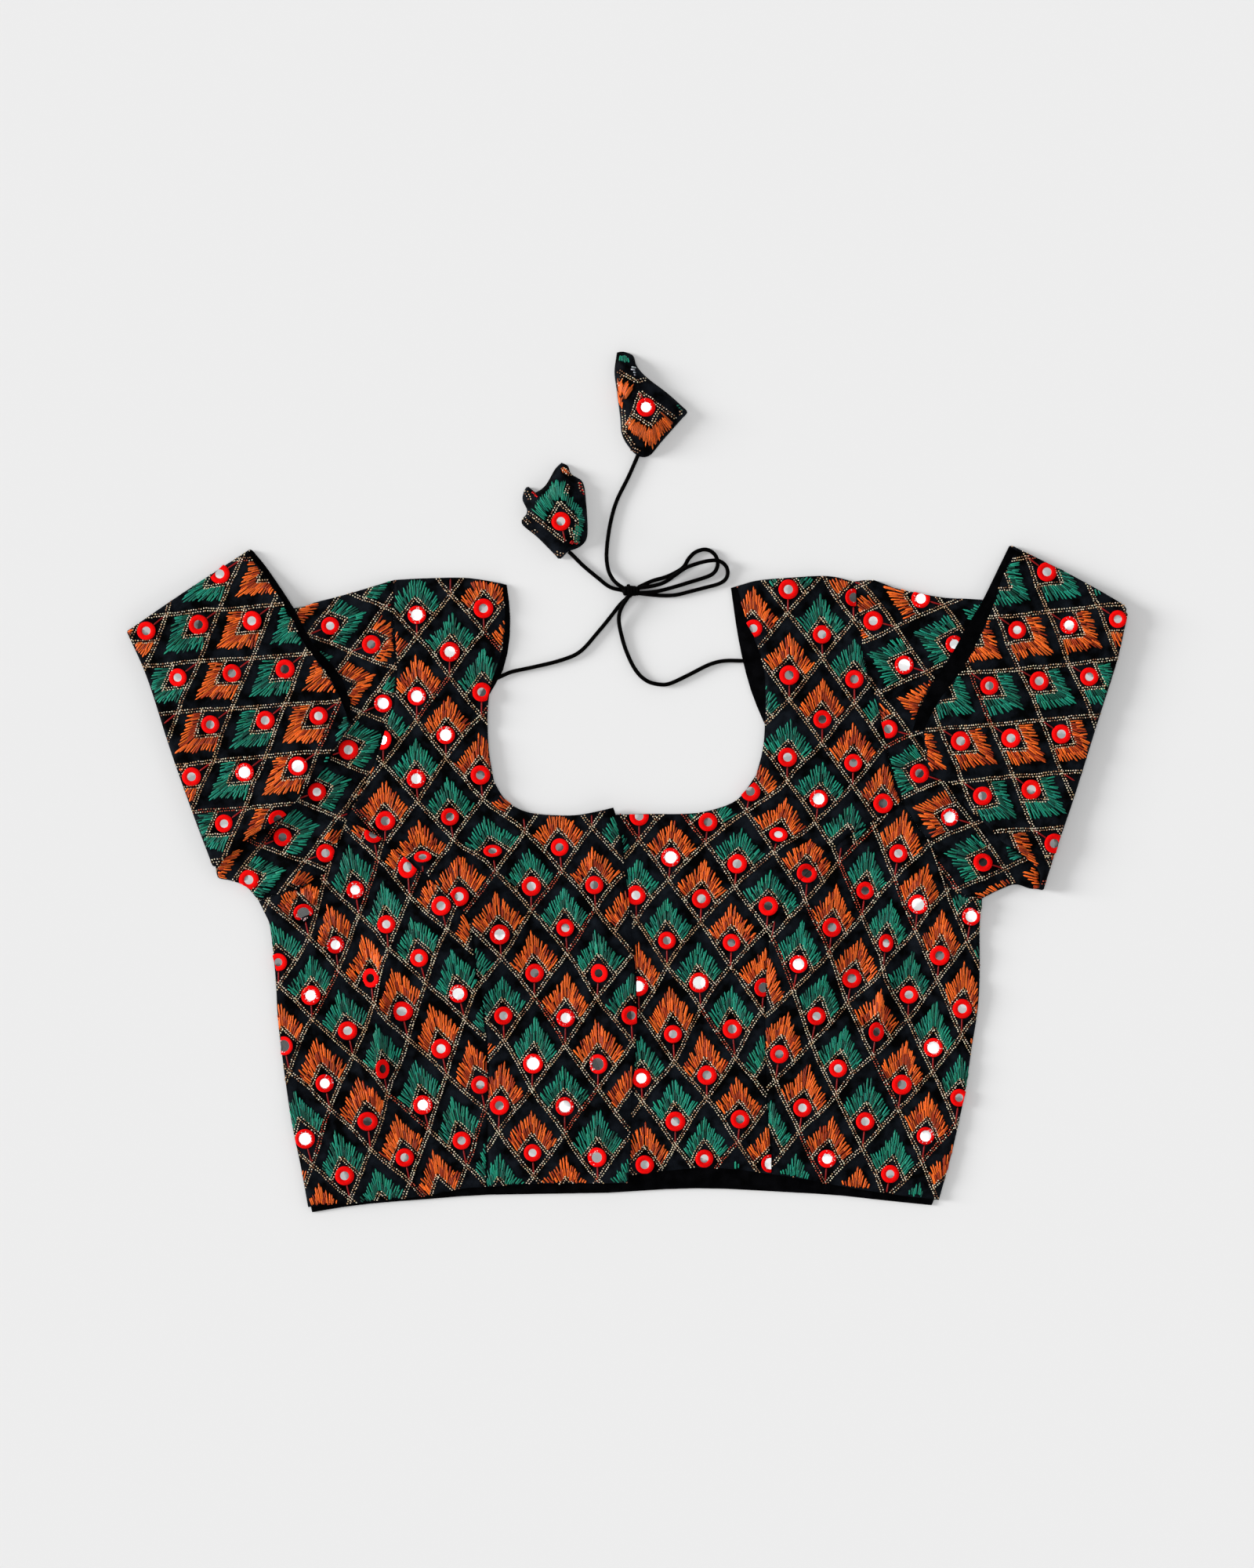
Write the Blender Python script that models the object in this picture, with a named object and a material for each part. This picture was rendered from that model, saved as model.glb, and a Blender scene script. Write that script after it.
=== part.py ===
"""Choli blouse of embroidered satin, laid flat with its front up and its sleeves turned back.

The outline tables are in millimetres: x to the viewer's right, y towards the shoulders, from the middle of
the laid garment. The stack rises from the floor at z = 0: the back, then the fronts, with the sleeve tubes
beside them and their turned-back ends on top.
"""

import collections
import math

import bmesh
import bpy
from mathutils import Vector

for old in list(bpy.data.objects):
    bpy.data.objects.remove(old)

MM = 0.001

# The cloth: satin with its stitching and lining, and the air left between two pieces.
CLOTH = 1.4
GAP = 0.3
HALF_GAP = GAP / 2
# Heights that follow: the top of the fronts, half of a flattened tube, and the rise over the underlap.
FRONT_TOP = 2 * CLOTH + GAP
TUBE_HALF = FRONT_TOP / 2
OVERLAP_RISE = CLOTH + GAP
OVERLAP_EASE = 7.0
UNDERLAP = 12.0

# A flattened tube's edge is round: the angles of its points. The sleeve's end turns back about a line at
# the height of TURN_RADIUS, and drops to the floor past the sleeve's top edge.
TUBE_ROUNDING = (0.0, math.radians(45), math.radians(90))
TURN_RADIUS = (2 * FRONT_TOP + GAP) / 2
DROOP_START = 4.0
DROOP_LENGTH = 34.0

# The tie cord.
CORD = 2.5
CORD_LOW = 1.3
CORD_HIGH = 4.15
CORD_STEP = 6.2

# The edges of one half of the garment, each a list of (x, y). The armhole runs from the shoulder to the
# princess seam and on to the underarm, the princess seam over the bust to the hem, and the side seam from the
# underarm to the hem. The neck has two stretches, down the strap and round to the opening. Hems run from the
# side inwards. On the sleeve, sleeve_top and underarm run from the armhole to the turn, turn is where the
# sleeve bends back, end_top and end_low are the turned-back end's edges, and cuff and cuff_inner its open
# end in the upper and the lower layer. inward is 1 where the middle of the garment lies to the left of a
# seam that runs down, and -1 where it lies to the right.
Half = collections.namedtuple(
    "Half",
    "inward strap_armhole scye princess side_seam shoulder neck_side neck_front side_hem centre_hem"
    " sleeve_top turn underarm end_top end_low cuff cuff_inner",
)
HALVES = {
    "left": Half(
        inward=1,
        strap_armhole=[(-149, 190.5), (-149, 160), (-147, 135), (-149, 115), (-155, 93), (-163, 70), (-171, 53),
                       (-180, 38)],
        scye=[(-180, 38), (-185, 20), (-193, 4), (-206, -4), (-221, -9), (-235, -14)],
        princess=[(-180, 38), (-160, 28), (-135, 8), (-114, -9.5), (-103, -23), (-99, -36), (-96, -58),
                  (-91, -90), (-89, -124), (-89.5, -165), (-90, -196.5)],
        side_seam=[(-235, -14), (-228.5, -27), (-226, -44), (-224, -66), (-222.5, -92), (-217.5, -132),
                   (-213, -160), (-208, -184), (-203.5, -209)],
        shoulder=[(-149, 190.5), (-131, 191.5), (-106, 192), (-92, 190.5), (-79, 188)],
        neck_side=[(-79, 188), (-78, 165), (-79.5, 148), (-83, 135), (-87, 124), (-89, 108), (-89, 94),
                   (-88, 79), (-85, 62)],
        neck_front=[(-85, 62), (-79, 52), (-70, 45), (-58, 41.5), (-36, 40.5), (-22, 42.5), (-9, 45.5)],
        side_hem=[(-203.5, -209), (-172, -206.5), (-129, -202), (-103, -197), (-90, -196.5)],
        centre_hem=[(-90, -196.5), (-64, -194.5), (-30, -194), (0.5, -193.5)],
        sleeve_top=[(-149, 190.5), (-177, 182), (-200, 176), (-213, 172.5), (-319, 158)],
        turn=[(-319.2, 158), (-306, 128), (-291.5, 83), (-277, 42), (-264, 7.5)],
        underarm=[(-235, -14), (-243, -5), (-253, -1), (-261, 1), (-264, 7.5)],
        end_top=[(-319, 158), (-279, 185), (-240, 210.5)],
        end_low=[(-264, 7.5), (-256, 14), (-241, 26), (-230, 33), (-217, 41), (-207, 55), (-192, 72),
                 (-186, 84), (-176, 98)],
        cuff=[(-242.5, 209), (-232, 195), (-216, 171), (-205, 149), (-188, 126), (-176, 98)],
        cuff_inner=[(-240, 210.5), (-229, 197), (-212.5, 172.5), (-201, 151), (-182, 128), (-174, 98)],
    ),
    "right": Half(
        inward=-1,
        strap_armhole=[(144, 189.5), (147, 170), (150, 144), (159, 113), (165, 85), (170, 62), (175, 49)],
        scye=[(175, 49), (183, 36), (196, 18), (201, 1), (211, -9), (226, -12.5)],
        princess=[(175, 49), (167, 43), (138, 25), (114, 3.5), (99, -15), (91, -34), (88, -68), (88, -121),
                  (91, -170), (92, -188)],
        side_seam=[(226, -12.5), (224.5, -30), (224.5, -62), (223, -85), (219.5, -107), (215, -137),
                   (208.5, -167), (204.5, -183), (198.5, -204.5)],
        shoulder=[(144, 189.5), (128, 193), (104, 192), (82, 190), (70, 186)],
        neck_side=[(70, 186), (76, 165), (82, 150), (86.5, 136), (88, 120), (87.5, 95), (86, 81), (82, 66)],
        neck_front=[(82, 66), (70, 50.5), (52, 43.5), (36, 41.5), (14, 41.5), (-6, 41), (-21, 41)],
        side_hem=[(198.5, -204.5), (177, -202), (156, -199), (132, -195), (114, -191.5), (92, -188)],
        centre_hem=[(92, -188), (68, -185), (48, -184), (20, -186.5), (1, -188.5), (-11, -189)],
        sleeve_top=[(144, 189.5), (157, 190.5), (170, 185.5), (186, 182), (204, 179), (225, 178), (319, 169.5)],
        turn=[(319, 169.5), (312, 139), (300, 101), (284, 50), (272, 15), (265, -7.5)],
        underarm=[(226, -12.5), (236, -7.5), (247, -3.5), (256, -6), (265, -7.5)],
        end_top=[(319, 169.5), (315, 175), (282, 194), (247, 211.5)],
        end_low=[(265, -7.5), (262, 5), (248, 18), (238, 24), (226, 37), (215, 46), (211, 58), (200, 63),
                 (192, 70), (188, 93.5)],
        cuff=[(249, 210.5), (240, 195), (230, 167), (220, 146), (209, 128), (198, 113), (188, 93.5)],
        cuff_inner=[(244, 213.2), (234, 193), (226, 177), (217, 162), (206, 142), (196, 127), (186, 108),
                    (181, 93)],
    ),
}
# Each princess seam reaches the bust at this point of its list, level with the top of the front opening.
BUST_POINT = 3

# Front opening: the edge of the upper front, from the neck to the hem. The other front runs on below it.
FRONT_EDGE = [(-9, 45.5), (-6.5, 37), (-1.5, 4), (1.5, -25), (4.5, -60), (6, -88), (4, -115), (2, -150),
              (0.5, -193.5)]

# The back's own edges where they stand out past the fronts: its neck and its hem.
BACK_NECK = [(-77, 187.5), (-75, 172), (-75, 155), (-78, 137), (-83, 126), (-91, 112), (-96, 90), (-94, 66),
             (-84, 43), (-66, 30), (-36, 24), (0, 24), (36, 26), (66, 33), (82, 48), (91, 68), (93, 86),
             (86.5, 101), (79, 119.5), (73, 142), (69, 164), (66, 185.5)]
BACK_HEM = [(-201, -212.5), (-169, -207.5), (-126, -204), (-93, -201.5), (-53, -201), (-10, -200), (31, -197.5),
            (61, -197.5), (89, -199), (132, -201.5), (164, -205), (194, -208)]

# What lifts the fronts off the back: soft cups over the bust and the largest creases of the cloth, each a
# straight ridge or trough between two points with its own height and half width.
Cup = collections.namedtuple("Cup", "x y reach_x reach_y rise")
Crease = collections.namedtuple("Crease", "x y to_x to_y half_width rise")
CUPS = [
    Cup(-112, -34, 62, 66, 6.5),
    Cup(104, -38, 62, 66, 6.5),
    Cup(-60, -150, 70, 50, 2.0),
    Cup(60, -145, 70, 50, 2.0),
    Cup(-118, 120, 26, 55, 1.5),
    Cup(112, 125, 28, 55, 1.5),
]
CREASES = [
    Crease(-155, -30, -166, -165, 8, 4.0),
    Crease(-168, -28, -178, -150, 7, -1.6),
    Crease(163, -30, 158, -110, 8, 4.0),
    Crease(150, -40, 146, -120, 7, -1.5),
    Crease(-160, 16, -72, 17, 6, -2.0),
    Crease(-158, 26, -80, 28, 7, 1.6),
    Crease(80, 27, 140, 20, 6, -1.8),
    Crease(-222, -28, -176, 6, 7, 3.2),
    Crease(-214, -58, -176, -20, 7, 2.4),
    Crease(214, -34, 178, 2, 7, 3.2),
    Crease(212, -66, 180, -24, 7, 2.2),
    Crease(-196, 22, -176, 48, 6, 2.8),
    Crease(-208, 12, -222, 2, 6, 2.4),
    Crease(204, 22, 186, 44, 6, 2.6),
    Crease(214, 10, 236, 4, 6, 2.2),
    Crease(-40, 30, -20, -60, 10, 1.4),
    Crease(36, 20, 30, -80, 10, 1.4),
]
# How much of a crease's rise is left at its two ends.
CREASE_END_SHARE = 0.35
# Creases of the turned-back sleeve ends.
END_CREASES = [
    Crease(-262, 14, -214, 52, 7, 3.0),
    Crease(-236, 44, -190, 92, 8, 1.8),
    Crease(-300, 150, -262, 120, 12, 1.2),
    Crease(262, 8, 222, 46, 7, 3.0),
    Crease(240, 50, 202, 74, 8, 1.8),
    Crease(300, 160, 266, 128, 12, 1.2),
]

# Rows across each panel between its corners, and columns along them. Two pieces that meet at a seam share
# its points, so these counts are the seams' own.
STRAP_ROWS = 9
BUST_ROWS = 6
WAIST_ROWS = 11
CENTRE_COLUMNS = 10
SCYE_COLUMNS = 8
SLEEVE_ROWS = 8
END_ROWS = 8
TURN_ANGLES = (-60, -25, 25, 60)
BACK_SIDE_POINTS = 14
BACK_HEM_POINTS = 22
BACK_SHOULDER_POINTS = 7
BACK_NECK_POINTS = 44

# The bow knot: its middle, its half sizes, how much its three wraps stand out, and where it is cut flat.
KNOT = (2.0, 183.5)
KNOT_SIZE = (4.4, 4.0, 2.9)
KNOT_WRAP = 0.06
KNOT_FLAT = -0.97

# Cord routes: x, y and the height of the cord's middle. They cross each other one over the other.
ROUTES = {
    "dori_left": [
        (-79.6, 129.6, CORD_LOW), (-73, 132.2, CORD_LOW), (-60, 135, CORD_LOW), (-42, 139.5, CORD_LOW),
        (-30, 145, CORD_LOW), (-19, 157, CORD_LOW), (-10, 168, CORD_LOW), (-5, 174.5, CORD_LOW),
        (-0.2, 179.2, CORD_LOW),
    ],
    "dori_right": [
        (72.9, 139, CORD_LOW), (62, 139, CORD_LOW), (52, 136.5, CORD_LOW), (38, 129.5, CORD_LOW),
        (27, 124.5, CORD_LOW), (20, 124, CORD_LOW), (12, 126.5, CORD_LOW), (5, 133.5, CORD_LOW),
        (-1, 146, CORD_LOW), (-4.6, 159, 1.8), (-5.4, 167, 3.2), (-3.4, 173.5, CORD_HIGH), (0.3, 179.1, CORD_HIGH),
    ],
    "dori_tail_left": [
        (-2.5, 183.8, CORD_LOW), (-11, 186, CORD_LOW), (-19, 192, CORD_LOW), (-28, 199.5, CORD_LOW),
        (-34, 205.4, CORD_LOW), (-37.4, 208.6, CORD_LOW),
    ],
    "dori_tail_right": [
        (-2.3, 185.2, CORD_HIGH), (-7.5, 188.8, 3.9), (-11.5, 195, 2.2), (-13.2, 203, CORD_LOW),
        (-13, 212, CORD_LOW), (-11, 226, CORD_LOW), (-7, 240.5, CORD_LOW), (1, 257, CORD_LOW), (6.8, 270.2, CORD_LOW),
    ],
    "dori_loop_lower": [
        (7.0, 185.9, CORD_LOW), (16, 190, CORD_LOW), (24, 192.3, CORD_LOW), (31, 195.5, CORD_LOW),
        (36, 199, CORD_LOW), (39, 204, CORD_LOW), (43.5, 208.3, CORD_LOW), (50, 210, CORD_LOW),
        (55, 207.5, CORD_LOW), (57.4, 203, CORD_LOW), (57.2, 198.5, CORD_LOW), (54.5, 194.5, CORD_LOW),
        (49, 192, CORD_LOW), (40, 189.2, CORD_LOW), (33, 187, 1.6), (26, 184.9, 3.3), (19, 183.2, CORD_HIGH),
        (12, 182.3, CORD_HIGH), (7.0, 182.1, CORD_HIGH),
    ],
    "dori_loop_upper": [
        (7.0, 185.5, CORD_HIGH), (15, 186.4, CORD_HIGH), (23, 188.6, CORD_HIGH), (30, 193.2, CORD_HIGH),
        (37, 198, CORD_HIGH), (45, 201, CORD_HIGH), (52, 202.6, CORD_HIGH), (58, 202.6, CORD_HIGH),
        (62.4, 199.8, 3.0), (64, 195.5, 1.7), (62.6, 191, CORD_LOW), (58, 188, CORD_LOW), (50, 185.8, CORD_LOW),
        (40, 183.2, CORD_LOW), (31, 181, CORD_LOW), (22, 180.6, CORD_LOW), (14, 181.3, CORD_LOW),
        (7.0, 182.0, CORD_LOW),
    ],
}

# Tassels: the outline round the folded cloth, the place where its top lies highest, and its height there.
Tassel = collections.namedtuple("Tassel", "outline top_x top_y height")
LATKANS = {
    "latkan_lower": Tassel(
        [(-42, 264), (-38, 262), (-36, 257), (-29, 252), (-27, 240), (-26, 224), (-27, 216.5), (-31.5, 212),
         (-38, 209.5), (-43, 205), (-47, 208.5), (-57, 218.5), (-66.5, 227), (-63, 234), (-66, 242),
         (-63, 249.5), (-59, 245.5), (-52, 250), (-46, 260)],
        -42, 231, 7.6),
    "latkan_upper": Tassel(
        [(-6, 334), (-2, 334.5), (4, 332), (6, 326), (12, 319), (25, 309), (37, 297.5), (31, 289.5), (22, 280),
         (14, 270.8), (7, 270.6), (1, 276.5), (-3, 284), (-4, 294), (-6, 310), (-7.5, 322)],
        11, 295, 7.6),
}
# Each ring of a tassel: how much of the outline's reach it has, and its share of the tassel's height.
LATKAN_RINGS = [(1.0, 0.0), (1.0, 0.24), (0.93, 0.62), (0.66, 0.9), (0.3, 1.0)]

SATIN = (0.010, 0.011, 0.022, 1.0)
LINING = (0.004, 0.004, 0.006, 1.0)
CORD_BLACK = (0.006, 0.006, 0.008, 1.0)


def smooth(points):
    """The points of a smooth curve through the given ones (Catmull-Rom), close together."""
    points = [Vector(point) for point in points]
    if len(points) == 2:
        return points
    padded = [2 * points[0] - points[1], *points, 2 * points[-1] - points[-2]]
    steps = 12
    curve = []
    for a, b, c, d in zip(padded, padded[1:], padded[2:], padded[3:]):
        for step in range(steps):
            t = step / steps
            curve.append(
                0.5 * (2 * b + (c - a) * t + (2 * a - 5 * b + 4 * c - d) * t**2 + (3 * b - a - 3 * c + d) * t**3)
            )
    curve.append(points[-1])
    return curve


def evenly(points, count):
    """count points evenly spaced along the smooth curve through the given ones."""
    curve = smooth(points)
    lengths = [0.0]
    for before, after in zip(curve, curve[1:]):
        lengths.append(lengths[-1] + (after - before).length)
    result = []
    at = 0
    for index in range(count):
        wanted = lengths[-1] * index / (count - 1)
        while at < len(curve) - 2 and lengths[at + 1] < wanted:
            at += 1
        span = lengths[at + 1] - lengths[at]
        result.append(curve[at].lerp(curve[at + 1], (wanted - lengths[at]) / span))
    return result


def moved_aside(points, distance):
    """The points moved to the left of the way they run, by distance."""
    moved = []
    for index, point in enumerate(points):
        along = points[min(index + 1, len(points) - 1)] - points[max(index - 1, 0)]
        moved.append(point + Vector((-along.y, along.x)).normalized() * distance)
    return moved


def between(points, place):
    """The point at a share of the way along evenly numbered points."""
    at = place * (len(points) - 1)
    index = min(int(at), len(points) - 2)
    return points[index].lerp(points[index + 1], at - index)


def patch(rail_a, rail_b, first, last, row, place):
    """A point of the patch between two rails and the edges that join their first and last points."""
    down = row / (len(rail_a) - 1)
    ruled = rail_a[row].lerp(rail_b[row], place)
    capped = between(first, place).lerp(between(last, place), down)
    corners = rail_a[0].lerp(rail_b[0], place).lerp(rail_a[-1].lerp(rail_b[-1], place), down)
    return ruled + capped - corners


def soft_step(value):
    value = min(max(value, 0.0), 1.0)
    return value * value * (3 - 2 * value)


def crease_height(creases, x, y):
    """The sum of ridges and troughs at a place. Each fades out towards its own ends."""
    total = 0.0
    for crease in creases:
        start = Vector((crease.x, crease.y))
        run = Vector((crease.to_x, crease.to_y)) - start
        offset = Vector((x, y)) - start
        along = offset.dot(run) / run.length_squared
        aside = abs(offset.x * run.y - offset.y * run.x) / run.length
        beyond = max(-along, along - 1, 0.0) * run.length
        fade = math.exp(-((beyond / crease.half_width) ** 2))
        middle = math.sin(math.pi * min(max(along, 0.0), 1.0))
        taper = CREASE_END_SHARE + (1 - CREASE_END_SHARE) * middle
        total += crease.rise * taper * fade * math.exp(-((aside / crease.half_width) ** 2))
    return total


def front_lift(x, y):
    """How far the upper layer stands above its lowest place."""
    total = crease_height(CREASES, x, y)
    for cup in CUPS:
        away = ((x - cup.x) / cup.reach_x) ** 2 + ((y - cup.y) / cup.reach_y) ** 2
        total += cup.rise * max(0.0, 1 - away) ** 2
    return max(total, 0.0)


def edge_x(y):
    """Where the edge of the upper front lies at a height up the garment."""
    for before, after in zip(FRONT_EDGE, FRONT_EDGE[1:]):
        if before[1] >= y >= after[1]:
            t = (before[1] - y) / (before[1] - after[1])
            return before[0] + (after[0] - before[0]) * t
    return FRONT_EDGE[0][0] if y > FRONT_EDGE[0][1] else FRONT_EDGE[-1][0]


def upper_front_lift(x, y):
    """The upper front rises over the underlap before its edge."""
    start = edge_x(y) - UNDERLAP - 2 * OVERLAP_EASE
    return front_lift(x, y) + OVERLAP_RISE * soft_step((x - start) / OVERLAP_EASE)


def material(name, colour, roughness):
    made = bpy.data.materials.new(name)
    made.use_nodes = True
    shader = made.node_tree.nodes["Principled BSDF"]
    shader.inputs["Base Color"].default_value = colour
    shader.inputs["Roughness"].default_value = roughness
    shader.inputs["Metallic"].default_value = 0.0
    made.diffuse_color = colour
    return made


def add_mesh(name, mesh_builder, finish):
    mesh = bpy.data.meshes.new(name)
    bmesh.ops.recalc_face_normals(mesh_builder, faces=mesh_builder.faces)
    mesh_builder.to_mesh(mesh)
    mesh_builder.free()
    made = bpy.data.objects.new(name, mesh)
    mesh.materials.append(finish)
    mesh.shade_smooth()
    mesh.set_sharp_from_angle(angle=math.radians(50))
    blouse.objects.link(made)


def add_panel(name, rail_a, rail_b, first, last, lift, finish):
    """A cloth panel: a grid laid between its four edges, lifted, and thickened straight down."""
    rows = len(rail_a)
    columns = len(first)
    bm = bmesh.new()
    bmesh.ops.create_grid(bm, x_segments=columns - 1, y_segments=rows - 1, size=1.0)
    for vertex in bm.verts:
        across = round((vertex.co.x + 1) / 2 * (columns - 1)) / (columns - 1)
        row = round((vertex.co.y + 1) / 2 * (rows - 1))
        place = patch(rail_a, rail_b, first, last, row, across)
        vertex.co = (place.x * MM, place.y * MM, (FRONT_TOP + lift(place.x, place.y)) * MM)
    lower = bmesh.ops.extrude_face_region(bm, geom=bm.faces[:], use_keep_orig=True)["geom"]
    lower = [part for part in lower if isinstance(part, bmesh.types.BMVert)]
    bmesh.ops.translate(bm, verts=lower, vec=(0, 0, -CLOTH * MM))
    add_mesh(name, bm, finish)


def rail(*stretches):
    """One rail through several stretches: (points, rows) pairs that meet at corners."""
    result = []
    for points, rows in stretches:
        result += evenly(points, rows + 1)[1 if result else 0:]
    return result


def seams_of(half):
    """The armhole and the princess seam of one half, moved to each of the pieces that they join."""
    armhole = rail((half.strap_armhole, STRAP_ROWS), (half.scye, SCYE_COLUMNS))
    princess = rail((half.princess[:BUST_POINT + 1], BUST_ROWS), (half.princess[BUST_POINT:], WAIST_ROWS))
    body_armhole = moved_aside(armhole, half.inward * HALF_GAP)
    sleeve_armhole = moved_aside(armhole, -half.inward * HALF_GAP)
    centre_princess = moved_aside(princess, half.inward * HALF_GAP)
    side_princess = moved_aside(princess, -half.inward * HALF_GAP)
    corner = body_armhole[STRAP_ROWS]
    centre_princess[0] = corner + (centre_princess[0] - princess[0])
    side_princess[0] = corner + (side_princess[0] - princess[0])
    return Seams(body_armhole, sleeve_armhole, centre_princess, side_princess)


def add_centre_front(side):
    """The panel beside the opening. The left one lies over the right one, which runs on below its edge."""
    half = HALVES[side]
    seams = SEAMS[side]
    outer = seams.body_armhole[:STRAP_ROWS] + seams.centre_princess
    if side == "left":
        opening = FRONT_EDGE
        lift = upper_front_lift
    else:
        middle = [(x - UNDERLAP, y) for x, y in FRONT_EDGE[1:-1]]
        opening = [half.neck_front[-1], *middle, half.centre_hem[-1]]
        lift = front_lift
    inner = rail((half.neck_side, STRAP_ROWS), (half.neck_front, BUST_ROWS), (opening, WAIST_ROWS))
    top = evenly([outer[0], *half.shoulder[1:]], CENTRE_COLUMNS)
    bottom = evenly([outer[-1], *half.centre_hem[1:]], CENTRE_COLUMNS)
    add_panel(f"centre_front_{side}", outer, inner, top, bottom, lift, satin)


def add_side_front(side):
    half = HALVES[side]
    seams = SEAMS[side]
    inner = seams.side_princess
    top = seams.body_armhole[STRAP_ROWS + 1:][::-1] + [inner[0]]
    bottom = evenly([*half.side_hem[:-1], inner[-1]], len(top))
    outer = evenly([top[0], *half.side_seam[1:-1], bottom[0]], len(inner))
    add_panel(f"side_front_{side}", outer, inner, top, bottom, front_lift, satin)


def add_back():
    """The back: one flat outline. Its armholes keep the seam gap to the sleeves."""
    left = HALVES["left"]
    right = HALVES["right"]
    left_armhole = SEAMS["left"].body_armhole
    right_armhole = SEAMS["right"].body_armhole
    outline = list(left_armhole)
    outline += evenly([left_armhole[-1], *left.side_seam[1:-1], BACK_HEM[0]], BACK_SIDE_POINTS)[1:]
    outline += evenly(BACK_HEM, BACK_HEM_POINTS)[1:]
    outline += evenly([BACK_HEM[-1], *right.side_seam[-2:0:-1], right_armhole[-1]], BACK_SIDE_POINTS)[1:-1]
    outline += right_armhole[::-1]
    outline += evenly([right_armhole[0], *right.shoulder[1:-1], BACK_NECK[-1]], BACK_SHOULDER_POINTS)[1:]
    outline += evenly(BACK_NECK[::-1], BACK_NECK_POINTS)[1:]
    outline += evenly([BACK_NECK[0], *left.shoulder[-2:0:-1], left_armhole[0]], BACK_SHOULDER_POINTS)[1:-1]
    flat = bpy.data.curves.new("back", "CURVE")
    flat.dimensions = "2D"
    flat.fill_mode = "BOTH"
    flat.extrude = CLOTH / 2 * MM
    spline = flat.splines.new("POLY")
    spline.points.add(len(outline) - 1)
    for point, place in zip(spline.points, outline):
        point.co = (place.x * MM, place.y * MM, 0, 1)
    spline.use_cyclic_u = True
    flat.materials.append(lining)
    made = bpy.data.objects.new("back", flat)
    made.location.z = CLOTH / 2 * MM
    blouse.objects.link(made)


def across_tube(start, radius, count, first_span, last_span):
    """Where the points of a flattened tube's ring lie across it, from 0 to 1, and how full it is there.

    The ring keeps the armhole's own points, and rounds off within the first and the last span."""
    rounding = [(start + radius * (1 - math.cos(turn)), math.sin(turn)) for turn in TUBE_ROUNDING]
    ring = [(inset / first_span, height) for inset, height in rounding]
    ring += [(index, 1.0) for index in range(1, count - 1)]
    ring += [(count - 1 - inset / last_span, height) for inset, height in reversed(rounding)]
    return [(place / (count - 1), height) for place, height in ring]


def add_sleeve(side):
    """A sleeve tube with a wall of cloth, lofted through rings from the armhole to the turn and back."""
    half = HALVES[side]
    armhole = SEAMS[side].sleeve_armhole
    samples = len(armhole)
    turn = evenly(half.turn, samples)
    axis = moved_aside(turn, half.inward * TURN_RADIUS)
    outward = [(a - b).normalized() for a, b in zip(turn, axis)]
    upper = evenly([armhole[0], *half.sleeve_top[1:-1], axis[0]], SLEEVE_ROWS + 1)
    under = evenly([armhole[-1], *half.underarm[1:-1], axis[-1]], SLEEVE_ROWS + 1)
    end_upper = evenly([axis[0], *half.end_top[1:]], END_ROWS + 1)
    end_under = evenly([axis[-1], *half.end_low[1:]], END_ROWS + 1)
    cuff = evenly(half.cuff, samples)
    cuff_inner = evenly(half.cuff_inner, samples)
    edge_start = Vector(half.sleeve_top[-2])
    edge_run = (Vector(half.sleeve_top[-1]) - edge_start).normalized()

    def end_lift(at):
        """The turned-back end's creases, and its drop past the sleeve's top edge, where nothing lies below."""
        offset = at - edge_start
        past = half.inward * (offset.x * edge_run.y - offset.y * edge_run.x)
        drop = FRONT_TOP * soft_step((past - DROOP_START) / DROOP_LENGTH)
        return max(crease_height(END_CREASES, at.x, at.y), 0.0) - drop

    def place_on(row, across, level, layer):
        """level is the height in the tube, from 0 on the floor side to FRONT_TOP. layer is 0 there and 1 on top."""
        if row <= SLEEVE_ROWS:
            at = patch(upper, under, armhole, axis, row, across)
            rise = front_lift(at.x, at.y) if row < SLEEVE_ROWS else 0.0
            return at, level + rise * layer
        row -= SLEEVE_ROWS + 1
        if row < len(TURN_ANGLES):
            angle = math.radians(TURN_ANGLES[row])
            reach = TURN_RADIUS - level
            at = between(axis, across) + between(outward, across) * (reach * math.cos(angle))
            return at, TURN_RADIUS + reach * math.sin(angle)
        row -= len(TURN_ANGLES)
        ends = [a.lerp(b, layer) for a, b in zip(cuff, cuff_inner)]
        at = patch(end_upper[:-1] + [ends[0]], end_under[:-1] + [ends[-1]], axis, ends, row, across)
        lift = end_lift(at) if row else 0.0
        return at, 2 * TURN_RADIUS - level + lift

    rows = SLEEVE_ROWS + 1 + len(TURN_ANGLES) + END_ROWS + 1

    def ring(row, half_height, start):
        """One ring of the tube: over its top layer from edge to edge, and back through its lower layer."""
        spans = []
        for one, other in ((0, 1), (samples - 2, samples - 1)):
            near, _ = place_on(row, one / (samples - 1), TUBE_HALF, 0.5)
            far, _ = place_on(row, other / (samples - 1), TUBE_HALF, 0.5)
            spans.append((far - near).length)
        over = across_tube(start, half_height, samples, *spans)
        back = [(place, -height) for place, height in over[-2:0:-1]]
        return [
            place_on(row, place, TUBE_HALF + half_height * height, 0.5 + 0.5 * height)
            for place, height in over + back
        ]

    bm = bmesh.new()

    def wall(half_height, start):
        return [
            [bm.verts.new((at.x * MM, at.y * MM, z * MM)) for at, z in ring(row, half_height, start)]
            for row in range(rows)
        ]

    outside = wall(TUBE_HALF, 0.0)
    inside = wall(HALF_GAP, CLOTH)
    loops = outside + inside[::-1] + outside[:1]
    for loop, following in zip(loops, loops[1:]):
        for index in range(len(loop)):
            bm.faces.new((loop[index - 1], loop[index], following[index], following[index - 1]))
    add_mesh(f"sleeve_{side}", bm, satin)


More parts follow.
